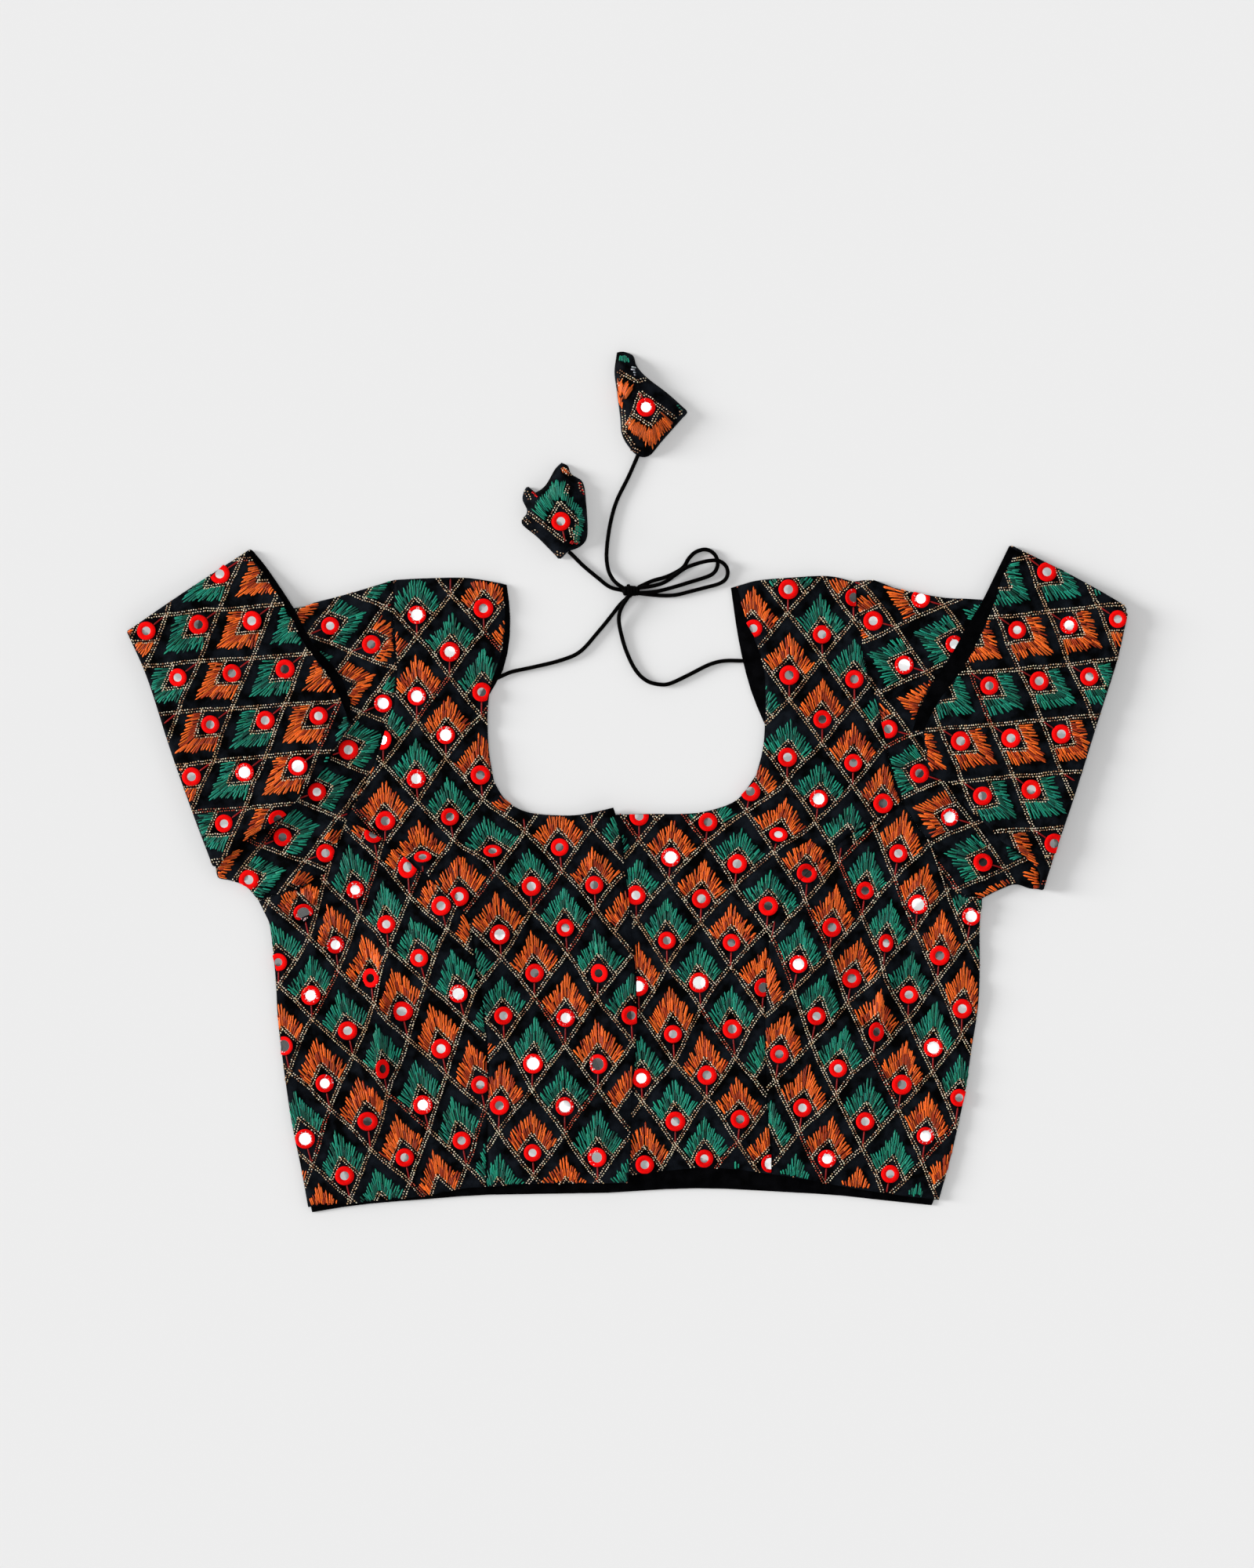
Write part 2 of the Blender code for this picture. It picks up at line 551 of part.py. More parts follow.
def add_cord(name, route):
    curve = bpy.data.curves.new(name, "CURVE")
    curve.dimensions = "3D"
    curve.bevel_depth = CORD / 2 * MM
    curve.bevel_resolution = 2
    curve.use_fill_caps = True
    length = sum((Vector(b) - Vector(a)).length for a, b in zip(route, route[1:]))
    points = evenly(route, round(length / CORD_STEP) + 1)
    spline = curve.splines.new("POLY")
    spline.points.add(len(points) - 1)
    for point, place in zip(spline.points, points):
        point.co = (place.x * MM, place.y * MM, place.z * MM, 1)
    curve.materials.append(cord_black)
    made = bpy.data.objects.new(name, curve)
    blouse.objects.link(made)


def add_knot():
    """The bow knot: a small lump of wound cord, flat where it rests."""
    bm = bmesh.new()
    bmesh.ops.create_uvsphere(bm, u_segments=16, v_segments=10, radius=1.0)
    for vertex in bm.verts:
        x, y, z = vertex.co
        wraps = 1 + KNOT_WRAP * math.cos(3 * math.atan2(z, x))
        vertex.co = (
            (KNOT[0] + KNOT_SIZE[0] * x * wraps) * MM,
            (KNOT[1] + KNOT_SIZE[1] * y) * MM,
            KNOT_SIZE[2] * (1 + max(z, KNOT_FLAT)) * MM,
        )
    add_mesh("dori_knot", bm, cord_black)


def add_latkan(name, tassel):
    """A tassel of folded cloth: its outline drawn in towards the top in rings."""
    bm = bmesh.new()
    middle = Vector((tassel.top_x, tassel.top_y))
    rings = []
    for share, height in LATKAN_RINGS:
        places = [middle.lerp(Vector(point), share) for point in tassel.outline]
        rings.append([bm.verts.new((at.x * MM, at.y * MM, height * tassel.height * MM)) for at in places])
    count = len(tassel.outline)
    for ring, following in zip(rings, rings[1:]):
        for index in range(count):
            bm.faces.new((ring[index - 1], ring[index], following[index], following[index - 1]))
    bm.faces.new(rings[-1])
    bm.faces.new(rings[0][::-1])
    bmesh.ops.triangulate(bm, faces=[face for face in bm.faces if len(face.verts) > 4])
    add_mesh(name, bm, satin)


blouse = bpy.data.collections.new("choli_blouse")
bpy.context.scene.collection.children.link(blouse)
satin = material("embroidered satin", SATIN, 0.5)
lining = material("black lining", LINING, 0.7)
cord_black = material("satin cord", CORD_BLACK, 0.5)

Seams = collections.namedtuple("Seams", "body_armhole sleeve_armhole centre_princess side_princess")
SEAMS = {half_name: seams_of(half) for half_name, half in HALVES.items()}

add_back()
for half_name in HALVES:
    add_centre_front(half_name)
    add_side_front(half_name)
    add_sleeve(half_name)
for cord_name, cord_route in ROUTES.items():
    add_cord(cord_name, cord_route)
add_knot()
for latkan_name, latkan_tassel in LATKANS.items():
    add_latkan(latkan_name, latkan_tassel)
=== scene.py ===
"""Choli blouse of mirror-worked black satin, laid flat with its front up and its sleeves turned back.

The tables are in millimetres, as the part's are: x to the viewer's right, y towards the shoulders, from the
middle of the laid garment, and z up from the surface that it lies on.
"""

import collections
import math
import random

import bmesh
import bpy
from mathutils import Matrix, Vector, noise
from mathutils.bvhtree import BVHTree


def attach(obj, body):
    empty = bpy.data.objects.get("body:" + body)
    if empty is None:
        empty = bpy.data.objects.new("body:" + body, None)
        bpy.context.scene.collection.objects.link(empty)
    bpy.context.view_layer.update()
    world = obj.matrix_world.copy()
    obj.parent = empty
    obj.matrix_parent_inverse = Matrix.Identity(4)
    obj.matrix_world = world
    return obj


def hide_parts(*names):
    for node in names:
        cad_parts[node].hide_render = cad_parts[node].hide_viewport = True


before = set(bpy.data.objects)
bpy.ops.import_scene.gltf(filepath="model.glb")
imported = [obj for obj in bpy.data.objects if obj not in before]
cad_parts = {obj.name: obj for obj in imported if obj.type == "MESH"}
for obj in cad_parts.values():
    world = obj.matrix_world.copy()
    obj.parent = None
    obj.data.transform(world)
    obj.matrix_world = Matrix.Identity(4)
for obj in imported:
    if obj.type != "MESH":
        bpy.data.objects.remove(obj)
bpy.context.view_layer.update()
MM = 0.001

# Camera: straight above the laid garment and far enough away that nothing leans.
PICTURE_HEIGHT = 1000
PICTURE_MIDDLE = (-0.25, 60.5)
LENS = 85
SENSOR = 36
camera_data = bpy.data.cameras.new("camera")
camera_data.lens = LENS
camera_data.sensor_width = SENSOR
camera = bpy.data.objects.new("camera", camera_data)
camera.location = (PICTURE_MIDDLE[0] * MM, PICTURE_MIDDLE[1] * MM, PICTURE_HEIGHT * MM * LENS / SENSOR)
bpy.context.scene.collection.objects.link(camera)
bpy.context.scene.camera = camera


# Tie cords: two lengths of thin black satin cord, sewn in at the sides of the back neck and tied in a bow.
# They lie on the surface, and pass over each other in low humps. Each stretch that shows is one curve.
CORD_WIDTH = 2.5
CORD_LOW = 1.3
CORD_HIGH = 4.15
CORD_POINT_EVERY = 3.3
CORD_POINTS = (16, 40)
CURVE_STEPS = 12
# Where each stretch runs. A point without a height lies on the surface.
CORD_ROUTES = {
    "dori_left": [
        (-84.5, 127.3), (-79.6, 129.6), (-73, 132.2), (-60, 135), (-42, 139.5), (-30, 145), (-19, 157),
        (-10, 168), (-5, 174.5), (-0.2, 179.2), (1.2, 181.2, 1.9),
    ],
    "dori_right": [
        (75, 139), (62, 139), (52, 136.5), (38, 129.5), (27, 124.5), (20, 124), (12, 126.5), (5, 133.5),
        (-1, 146), (-4.6, 159, 1.8), (-5.4, 167, 3.2), (-3.4, 173.5, CORD_HIGH), (0.3, 179.1, CORD_HIGH),
        (1.4, 181, 3.6),
    ],
    "dori_tail_left": [
        (-2.5, 183.8), (-11, 186), (-19, 192), (-28, 199.5), (-34, 205.4), (-37.4, 208.6),
    ],
    "dori_tail_right": [
        (-2.3, 185.2, CORD_HIGH), (-7.5, 188.8, 3.9), (-11.5, 195, 2.2), (-13.2, 203), (-13, 212),
        (-11, 226), (-7, 240.5), (1, 257), (6.8, 270.2),
    ],
    "dori_loop_lower": [
        (7.0, 185.9), (16, 190), (24, 192.3), (31, 195.5), (36, 199), (39, 204), (43.5, 208.3), (50, 210),
        (55, 207.5), (57.4, 203), (57.2, 198.5), (54.5, 194.5), (49, 192), (40, 189.2), (33, 187, 1.6),
        (26, 184.9, 3.3), (19, 183.2, CORD_HIGH), (12, 182.3, CORD_HIGH), (7.0, 182.1, CORD_HIGH),
    ],
    "dori_loop_upper": [
        (7.0, 185.5, CORD_HIGH), (15, 186.4, CORD_HIGH), (23, 188.6, CORD_HIGH), (30, 193.2, CORD_HIGH),
        (37, 198, CORD_HIGH), (45, 201, CORD_HIGH), (52, 202.6, CORD_HIGH), (58, 202.6, CORD_HIGH),
        (62.4, 199.8, 3.0), (64, 195.5, 1.7), (62.6, 191), (58, 188), (50, 185.8), (40, 183.2), (31, 181),
        (22, 180.6), (14, 181.3), (7.0, 182.0),
    ],
}


def smooth(points):
    """The points of a smooth curve through the given ones, close together."""
    points = [Vector(point) for point in points]
    padded = [2 * points[0] - points[1], *points, 2 * points[-1] - points[-2]]
    curve = []
    for a, b, c, d in zip(padded, padded[1:], padded[2:], padded[3:]):
        for step in range(CURVE_STEPS):
            t = step / CURVE_STEPS
            bend = (2 * a - 5 * b + 4 * c - d) * t**2 + (3 * b - a - 3 * c + d) * t**3
            curve.append(0.5 * (2 * b + (c - a) * t + bend))
    curve.append(points[-1])
    return curve


def evenly(points, count):
    """count points evenly spaced along the smooth curve through the given ones."""
    curve = smooth(points)
    lengths = [0.0]
    for before, after in zip(curve, curve[1:]):
        lengths.append(lengths[-1] + (after - before).length)
    result = []
    at = 0
    for index in range(count):
        wanted = lengths[-1] * index / (count - 1)
        while at < len(curve) - 2 and lengths[at + 1] < wanted:
            at += 1
        span = lengths[at + 1] - lengths[at]
        result.append(curve[at].lerp(curve[at + 1], (wanted - lengths[at]) / span))
    return result


def node_group(name, inputs, outputs):
    """An empty shader group with its named sockets, and its input and output nodes."""
    group = bpy.data.node_groups.new(name, "ShaderNodeTree")
    for label, kind, value in inputs:
        group.interface.new_socket(label, in_out="INPUT", socket_type=kind).default_value = value
    for label, kind in outputs:
        group.interface.new_socket(label, in_out="OUTPUT", socket_type=kind)
    return group, group.nodes.new("NodeGroupInput"), group.nodes.new("NodeGroupOutput")


# The fine weave or grain that satin, lining and cord share: crossed threads of a given count to the metre,
# broken up by a coarser unevenness. Height is for bump, and Tone lightens and darkens the colour.
weave, weave_in, weave_out = node_group(
    "fine weave",
    [("Vector", "NodeSocketVector", (0, 0, 0)), ("Threads", "NodeSocketFloat", 1500.0)],
    [("Height", "NodeSocketFloat"), ("Tone", "NodeSocketFloat")],
)
grain = weave.nodes.new("ShaderNodeTexNoise")
grain.inputs["Detail"].default_value = 2.0
weave.links.new(weave_in.outputs["Vector"], grain.inputs["Vector"])
weave.links.new(weave_in.outputs["Threads"], grain.inputs["Scale"])
coarse = weave.nodes.new("ShaderNodeMath")
coarse.operation = "MULTIPLY"
coarse.inputs[1].default_value = 0.12
weave.links.new(weave_in.outputs["Threads"], coarse.inputs[0])
patches = weave.nodes.new("ShaderNodeTexNoise")
patches.inputs["Detail"].default_value = 4.0
weave.links.new(weave_in.outputs["Vector"], patches.inputs["Vector"])
weave.links.new(coarse.outputs["Value"], patches.inputs["Scale"])
weave.links.new(grain.outputs["Fac"], weave_out.inputs["Height"])
weave.links.new(patches.outputs["Fac"], weave_out.inputs["Tone"])


def finish(name, roughness, specular, **values):
    """A material with its shader's own sockets set. Other values are named by their sockets."""
    material = bpy.data.materials.new(name)
    material.use_nodes = True
    shader = material.node_tree.nodes["Principled BSDF"]
    shader.inputs["Roughness"].default_value = roughness
    shader.inputs["Specular IOR Level"].default_value = specular
    for label, value in values.items():
        shader.inputs[label.replace("_", " ")].default_value = value
    return material


def on_weave(material, threads, strength, depth):
    """Bumps a material with the weave, and gives what its colours are linked to."""
    nodes = material.node_tree.nodes
    links = material.node_tree.links
    shader = nodes["Principled BSDF"]
    coordinates = nodes.new("ShaderNodeTexCoord")
    fabric = nodes.new("ShaderNodeGroup")
    fabric.node_tree = weave
    fabric.inputs["Threads"].default_value = threads
    links.new(coordinates.outputs["Object"], fabric.inputs["Vector"])
    bump = nodes.new("ShaderNodeBump")
    bump.inputs["Strength"].default_value = strength
    bump.inputs["Distance"].default_value = depth
    links.new(fabric.outputs["Height"], bump.inputs["Height"])
    links.new(bump.outputs["Normal"], shader.inputs["Normal"])
    return nodes, links, shader, fabric


def woven(material, dark, light, threads, depth):
    """Colours a material between two shades by the weave's patches, and bumps it with the weave."""
    nodes, links, shader, fabric = on_weave(material, threads, 0.6, depth)
    ramp = nodes.new("ShaderNodeValToRGB")
    for element, position, colour in zip(ramp.color_ramp.elements, (0.38, 0.68), (dark, light)):
        element.position = position
        element.color = colour
    links.new(fabric.outputs["Tone"], ramp.inputs["Fac"])
    links.new(ramp.outputs["Color"], shader.inputs["Base Color"])
    return material


def hand_over(piece, slot, *nodes):
    """Sets a finished piece in the scene: it rides on the part, and stands for its nodes."""
    bpy.context.scene.collection.objects.link(piece)
    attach(piece, "root")
    if nodes:
        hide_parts(*nodes)
    return piece


cord_black = woven(
    finish("black satin cord", 0.6, 0.015),
    (0.0003, 0.0002, 0.0002, 1), (0.0018, 0.0014, 0.0013, 1), 3000, 0.0002,
)
for node, route in CORD_ROUTES.items():
    route = [(*point, CORD_LOW)[:3] for point in route]
    curve = smooth(route)
    length = sum((after - before).length for before, after in zip(curve, curve[1:]))
    places = evenly(route, min(max(round(length / CORD_POINT_EVERY), CORD_POINTS[0]), CORD_POINTS[1]))
    line = bpy.data.curves.new(node + "_cord", "CURVE")
    line.dimensions = "3D"
    line.bevel_depth = CORD_WIDTH / 2 * MM
    line.bevel_resolution = 4
    line.use_fill_caps = True
    line.resolution_u = 3
    spline = line.splines.new("BEZIER")
    spline.bezier_points.add(len(places) - 1)
    for point, place in zip(spline.bezier_points, places):
        point.co = place * MM
        point.handle_left_type = "AUTO"
        point.handle_right_type = "AUTO"
    line.materials.append(cord_black)
    cord = hand_over(bpy.data.objects.new(node + "_cord", line), "black_cord", node)


# Bow knot: the cords wound round the start of the loops and drawn tight, with a last turn laid askew over
# the others. It is one small lump of the same cord, a cord's width on each side of what it holds.
KNOT = (2.0, 183.5, 2.85)
KNOT_CORD = 1.3
KNOT_TURNS = [
    (-3.2, 3.2, 82), (-1.3, 3.5, 96), (0.7, 3.4, 86), (2.7, 3.3, 93), (4.4, 3.1, 88), (-0.8, 4.5, 100),
]
KNOT_STEPS = 24
KNOT_DEPTH = 2.7
KNOT_FILLING = (5.6, 3.4, 2.4)
KNOT_LOW = 0.1
KNOT_TOP = 5.7
knot_parts = bmesh.new()
for offset, reach, lean in KNOT_TURNS:
    bm = bmesh.new()
    start = bmesh.ops.create_circle(bm, segments=10, radius=KNOT_CORD)["verts"]
    bmesh.ops.rotate(bm, verts=start, matrix=Matrix.Rotation(math.radians(90), 3, "X"))
    bmesh.ops.translate(bm, verts=start, vec=(reach - KNOT_CORD, 0, 0))
    bmesh.ops.spin(
        bm, geom=bm.verts[:] + bm.edges[:], cent=(0, 0, 0), axis=(0, 0, 1), angle=math.tau,
        steps=KNOT_STEPS, use_merge=True,
    )
    bmesh.ops.scale(bm, verts=bm.verts, vec=(1, KNOT_DEPTH / reach, 1))
    stand = Matrix.Rotation(math.radians(lean), 4, "Z") @ Matrix.Rotation(math.radians(90), 4, "X")
    bmesh.ops.transform(bm, verts=bm.verts, matrix=Matrix.Translation((offset, 0, 0)) @ stand)
    turn_mesh = bpy.data.meshes.new("knot_turn")
    bm.to_mesh(turn_mesh)
    bm.free()
    knot_parts.from_mesh(turn_mesh)
    bpy.data.meshes.remove(turn_mesh)
filling = Matrix.Diagonal((*KNOT_FILLING, 1))
bmesh.ops.create_icosphere(knot_parts, subdivisions=3, radius=1.0, matrix=filling)
for vertex in knot_parts.verts:
    vertex.co = (vertex.co + Vector(KNOT)) * MM
    vertex.co.z = min(max(vertex.co.z, KNOT_LOW * MM), KNOT_TOP * MM)
bmesh.ops.recalc_face_normals(knot_parts, faces=knot_parts.faces)
knot_mesh = bpy.data.meshes.new("bow_knot")
knot_parts.to_mesh(knot_mesh)
knot_parts.free()
knot_mesh.shade_smooth()
knot_mesh.materials.append(cord_black)
hand_over(bpy.data.objects.new("bow_knot", knot_mesh), "black_cord", "dori_knot")


# Back: one panel of lined satin under all the rest, its right side down. Its black lining shows beside the
# neck and along the hem. Its edges are turned and pressed, so they are rounded.
CLOTH = 1.4
GAP = 0.3
EDGE_ROUND = 0.5
lining = woven(
    finish("black lining", 0.8, 0.01),
    (0.0006, 0.0006, 0.0008, 1), (0.0022, 0.0022, 0.0028, 1), 1100, 0.00015,
)
bm = bmesh.new()
bm.from_mesh(bpy.data.objects["back"].data)
bmesh.ops.remove_doubles(bm, verts=bm.verts, dist=0.01 * MM)
bmesh.ops.dissolve_limit(bm, angle_limit=math.radians(1), verts=bm.verts, edges=bm.edges)
rim = [edge for edge in bm.edges if abs(edge.verts[0].co.z - edge.verts[1].co.z) < 0.1 * MM]
bmesh.ops.bevel(
    bm, geom=rim, offset=EDGE_ROUND * MM, offset_type="OFFSET", segments=3, profile=0.5, affect="EDGES",
    material=-1, clamp_overlap=True,
)
back_mesh = bpy.data.meshes.new("back_lining")
bm.to_mesh(back_mesh)
bm.free()
back_mesh.shade_smooth()
back_mesh.set_sharp_from_angle(angle=math.radians(50))
back_mesh.materials.append(lining)
back = hand_over(bpy.data.objects.new("back_lining", back_mesh), "black_lining", "back")


# Fronts: four panels of the same satin, two on each side of the opening, joined by the princess seams. The
# left one at the opening laps over the right one. Edges of one half are (x, y) lists. The armhole runs from
# the shoulder to the princess seam and on to the underarm, seams run down, and hems run inwards.
FRONT_TOP = 2 * CLOTH + GAP
SHEET = 1.2
OVERLAP_RISE = CLOTH + GAP
OVERLAP_EASE = 7.0
UNDERLAP = 12.0
SEAM_GAP = 0.1
SEAM_DEPTH = 1.0
SEAM_WIDTH = 1.5
Half = collections.namedtuple(
    "Half",
    "inward strap_armhole scye princess side_seam shoulder neck_side neck_front side_hem centre_hem"
    " sleeve_top turn underarm end_top end_low cuff cuff_inner",
)
HALVES = {
    "left": Half(
        inward=1,
        strap_armhole=[(-149, 190.5), (-149, 160), (-147, 135), (-149, 115), (-155, 93), (-163, 70),
                       (-171, 53), (-180, 38)],
        scye=[(-180, 38), (-185, 20), (-193, 4), (-206, -4), (-221, -9), (-235, -14)],
        princess=[(-180, 38), (-160, 28), (-135, 8), (-114, -9.5), (-103, -23), (-99, -36), (-96, -58),
                  (-91, -90), (-89, -124), (-89.5, -165), (-90, -196.5)],
        side_seam=[(-235, -14), (-228.5, -27), (-226, -44), (-224, -66), (-222.5, -92), (-217.5, -132),
                   (-213, -160), (-208, -184), (-203.5, -209)],
        shoulder=[(-149, 190.5), (-131, 191.5), (-106, 192), (-92, 190.5), (-79, 188)],
        neck_side=[(-79, 188), (-78, 165), (-79.5, 148), (-83, 135), (-87, 124), (-89, 108), (-89, 94),
                   (-88, 79), (-85, 62)],
        neck_front=[(-85, 62), (-79, 52), (-70, 45), (-58, 41.5), (-36, 40.5), (-22, 42.5), (-9, 45.5)],
        side_hem=[(-203.5, -209), (-172, -206.5), (-129, -202), (-103, -197), (-90, -196.5)],
        centre_hem=[(-90, -196.5), (-64, -194.5), (-30, -194), (0.5, -193.5)],
        sleeve_top=[(-149, 190.5), (-177, 182), (-200, 176), (-213, 172.5), (-319, 158)],
        turn=[(-319.2, 158), (-306, 128), (-291.5, 83), (-277, 42), (-264, 7.5)],
        underarm=[(-235, -14), (-243, -5), (-253, -1), (-261, 1), (-264, 7.5)],
        end_top=[(-319, 158), (-279, 185), (-240, 210.5)],
        end_low=[(-264, 7.5), (-256, 14), (-241, 26), (-230, 33), (-217, 41), (-207, 55), (-192, 72),
                 (-186, 84), (-176, 98)],
        cuff=[(-242.5, 209), (-232, 195), (-216, 171), (-205, 149), (-188, 126), (-176, 98)],
        cuff_inner=[(-240, 210.5), (-229, 197), (-212.5, 172.5), (-201, 151), (-182, 128), (-174, 98)],
    ),
    "right": Half(
        inward=-1,
        strap_armhole=[(144, 189.5), (147, 170), (150, 144), (159, 113), (165, 85), (170, 62), (175, 49)],
        scye=[(175, 49), (183, 36), (196, 18), (201, 1), (211, -9), (226, -12.5)],
        princess=[(175, 49), (167, 43), (138, 25), (114, 3.5), (99, -15), (91, -34), (88, -68), (88, -121),
                  (91, -170), (92, -188)],
        side_seam=[(226, -12.5), (224.5, -30), (224.5, -62), (223, -85), (219.5, -107), (215, -137),
                   (208.5, -167), (204.5, -183), (198.5, -204.5)],
        shoulder=[(144, 189.5), (128, 193), (104, 192), (82, 190), (70, 186)],
        neck_side=[(70, 186), (76, 165), (82, 150), (86.5, 136), (88, 120), (87.5, 95), (86, 81), (82, 66)],
        neck_front=[(82, 66), (70, 50.5), (52, 43.5), (36, 41.5), (14, 41.5), (-6, 41), (-21, 41)],
        side_hem=[(198.5, -204.5), (177, -202), (156, -199), (132, -195), (114, -191.5), (92, -188)],
        centre_hem=[(92, -188), (68, -185), (48, -184), (20, -186.5), (1, -188.5), (-11, -189)],
        sleeve_top=[(144, 189.5), (157, 190.5), (170, 185.5), (186, 182), (204, 179), (225, 178),
                    (319, 169.5)],
        turn=[(319, 169.5), (312, 139), (300, 101), (284, 50), (272, 15), (265, -7.5)],
        underarm=[(226, -12.5), (236, -7.5), (247, -3.5), (256, -6), (265, -7.5)],
        end_top=[(319, 169.5), (315, 175), (282, 194), (247, 211.5)],
        end_low=[(265, -7.5), (262, 5), (248, 18), (238, 24), (226, 37), (215, 46), (211, 58), (200, 63),
                 (192, 70), (188, 93.5)],
        cuff=[(249, 210.5), (240, 195), (230, 167), (220, 146), (209, 128), (198, 113), (188, 93.5)],
        cuff_inner=[(244, 213.2), (234, 193), (226, 177), (217, 162), (206, 142), (196, 127), (186, 108),
                    (181, 93)],
    ),
}
BUST_POINT = 3
FRONT_EDGE = [(-9, 45.5), (-6.5, 37), (-1.5, 4), (1.5, -25), (4.5, -60), (6, -88), (4, -115), (2, -150),
              (0.5, -193.5)]

# What lifts the fronts: soft cups over the bust, and creases between two points, each with its half width
# and rise, where a trough's rise is below zero. The finer ones are the puckers that close stitching draws.
Cup = collections.namedtuple("Cup", "x y reach_x reach_y rise")
Crease = collections.namedtuple("Crease", "x y to_x to_y half_width rise")
CUPS = [
    Cup(-112, -34, 62, 66, 6.5),
    Cup(104, -38, 62, 66, 6.5),
    Cup(-60, -150, 70, 50, 2.0),
    Cup(60, -145, 70, 50, 2.0),
    Cup(-118, 120, 26, 55, 1.5),
    Cup(112, 125, 28, 55, 1.5),
]
CREASES = [
    Crease(-155, -30, -166, -165, 8, 4.0),
    Crease(-168, -28, -178, -150, 7, -1.6),
    Crease(163, -30, 158, -110, 8, 4.0),
    Crease(150, -40, 146, -120, 7, -1.5),
    Crease(-160, 16, -72, 17, 6, -2.0),
    Crease(-158, 26, -80, 28, 7, 1.6),
    Crease(80, 27, 140, 20, 6, -1.8),
    Crease(-222, -28, -176, 6, 7, 3.2),
    Crease(-214, -58, -176, -20, 7, 2.4),
    Crease(214, -34, 178, 2, 7, 3.2),
    Crease(212, -66, 180, -24, 7, 2.2),
    Crease(-196, 22, -176, 48, 6, 2.8),
    Crease(-208, 12, -222, 2, 6, 2.4),
    Crease(204, 22, 186, 44, 6, 2.6),
    Crease(214, 10, 236, 4, 6, 2.2),
    Crease(-232, -22, -204, 6, 4, 2.6),
    Crease(-224, -40, -196, -14, 4, -2.0),
    Crease(228, -22, 200, 10, 4, 2.4),
    Crease(222, -40, 196, -14, 4, -1.8),
    Crease(-40, 30, -20, -60, 10, 1.4),
    Crease(36, 20, 30, -80, 10, 1.4),
    Crease(-60, -120, -30, -190, 5, 0.8),
    Crease(58, -110, 40, -180, 5, 0.8),
    Crease(-128, 60, -96, 40, 4, 1.0),
    Crease(-200, -120, -176, -196, 5, 1.0),
    Crease(196, -120, 180, -190, 5, 1.0),
    Crease(120, 66, 96, 46, 4, 1.0),
]
CREASE_END_SHARE = 0.35
# Puckers of two sizes, each with its rise and its own place in the noise.
PUCKERS = [(26, 0.8, 0), (10, 0.42, 40)]
PUCKER_BASE = 0.25
EDGE_CROWDING = 0.75

STRAP_ROWS = 40
BUST_ROWS = 24
WAIST_ROWS = 48
CENTRE_COLUMNS = 41
SCYE_COLUMNS = 32


def moved_aside(points, distance):
    """The points moved to the left of the way they run, by distance."""
    moved = []
    for index, point in enumerate(points):
        along = points[min(index + 1, len(points) - 1)] - points[max(index - 1, 0)]
        moved.append(point + Vector((-along.y, along.x)).normalized() * distance)
    return moved


def between(points, place):
    """The point at a share of the way along evenly numbered points."""
    at = place * (len(points) - 1)
    index = min(int(at), len(points) - 2)
    return points[index].lerp(points[index + 1], at - index)


def patch(rail_a, rail_b, first, last, row, place):
    """A point of the patch between two rails and the edges that join their first and last points."""
    down = row / (len(rail_a) - 1)
    ruled = rail_a[row].lerp(rail_b[row], place)
    capped = between(first, place).lerp(between(last, place), down)
    corners = rail_a[0].lerp(rail_b[0], place).lerp(rail_a[-1].lerp(rail_b[-1], place), down)
    return ruled + capped - corners


def rail(*stretches):
    """One rail through several stretches: (points, rows) pairs that meet at corners."""
    result = []
    for points, rows in stretches:
        result += evenly(points, rows + 1)[1 if result else 0:]
    return result


def soft_step(value):
    """0 up to 0, 1 from 1 on, and a smooth rise between."""
    value = min(max(value, 0.0), 1.0)
    return value * value * (3 - 2 * value)


def crease_height(creases, x, y):
    """The sum of ridges and troughs at a place. Each fades out towards its own ends."""
    total = 0.0
    for crease in creases:
        run_x = crease.to_x - crease.x
        run_y = crease.to_y - crease.y
        long = math.hypot(run_x, run_y)
        along = ((x - crease.x) * run_x + (y - crease.y) * run_y) / long**2
        aside = ((x - crease.x) * run_y - (y - crease.y) * run_x) / long
        if abs(aside) > 3 * crease.half_width:
            continue
        beyond = max(-along, along - 1, 0.0) * long
        fade = math.exp(-((beyond / crease.half_width) ** 2))
        middle = math.sin(math.pi * min(max(along, 0.0), 1.0))
        taper = CREASE_END_SHARE + (1 - CREASE_END_SHARE) * middle
        total += crease.rise * taper * fade * math.exp(-((aside / crease.half_width) ** 2))
    return total


def puckers(x, y):
    """The small unevenness of stitched cloth, up and down."""
    return sum(rise * noise.noise(Vector((x / size, y / size, seed))) for size, rise, seed in PUCKERS)


def pucker_lift(x, y):
    """How far the puckers lift the cloth. Most of it stays down."""
    return max(puckers(x, y) + PUCKER_BASE, 0.0)


def front_lift(x, y):
    """How far the upper layer stands above its lowest place."""
    total = crease_height(CREASES, x, y)
    for cup in CUPS:
        away = ((x - cup.x) / cup.reach_x) ** 2 + ((y - cup.y) / cup.reach_y) ** 2
        total += cup.rise * max(0.0, 1 - away) ** 2
    return max(total, 0.0) + pucker_lift(x, y)


def edge_x(y):
    """Where the edge of the upper front lies at a height up the garment."""
    for before, after in zip(FRONT_EDGE, FRONT_EDGE[1:]):
        if before[1] >= y >= after[1]:
            t = (before[1] - y) / (before[1] - after[1])
            return before[0] + (after[0] - before[0]) * t
    return FRONT_EDGE[0][0] if y > FRONT_EDGE[0][1] else FRONT_EDGE[-1][0]


def upper_front_lift(x, y):
    """The upper front rises over the underlap before its edge."""
    start = edge_x(y) - UNDERLAP - 2 * OVERLAP_EASE
    return front_lift(x, y) + OVERLAP_RISE * soft_step((x - start) / OVERLAP_EASE)


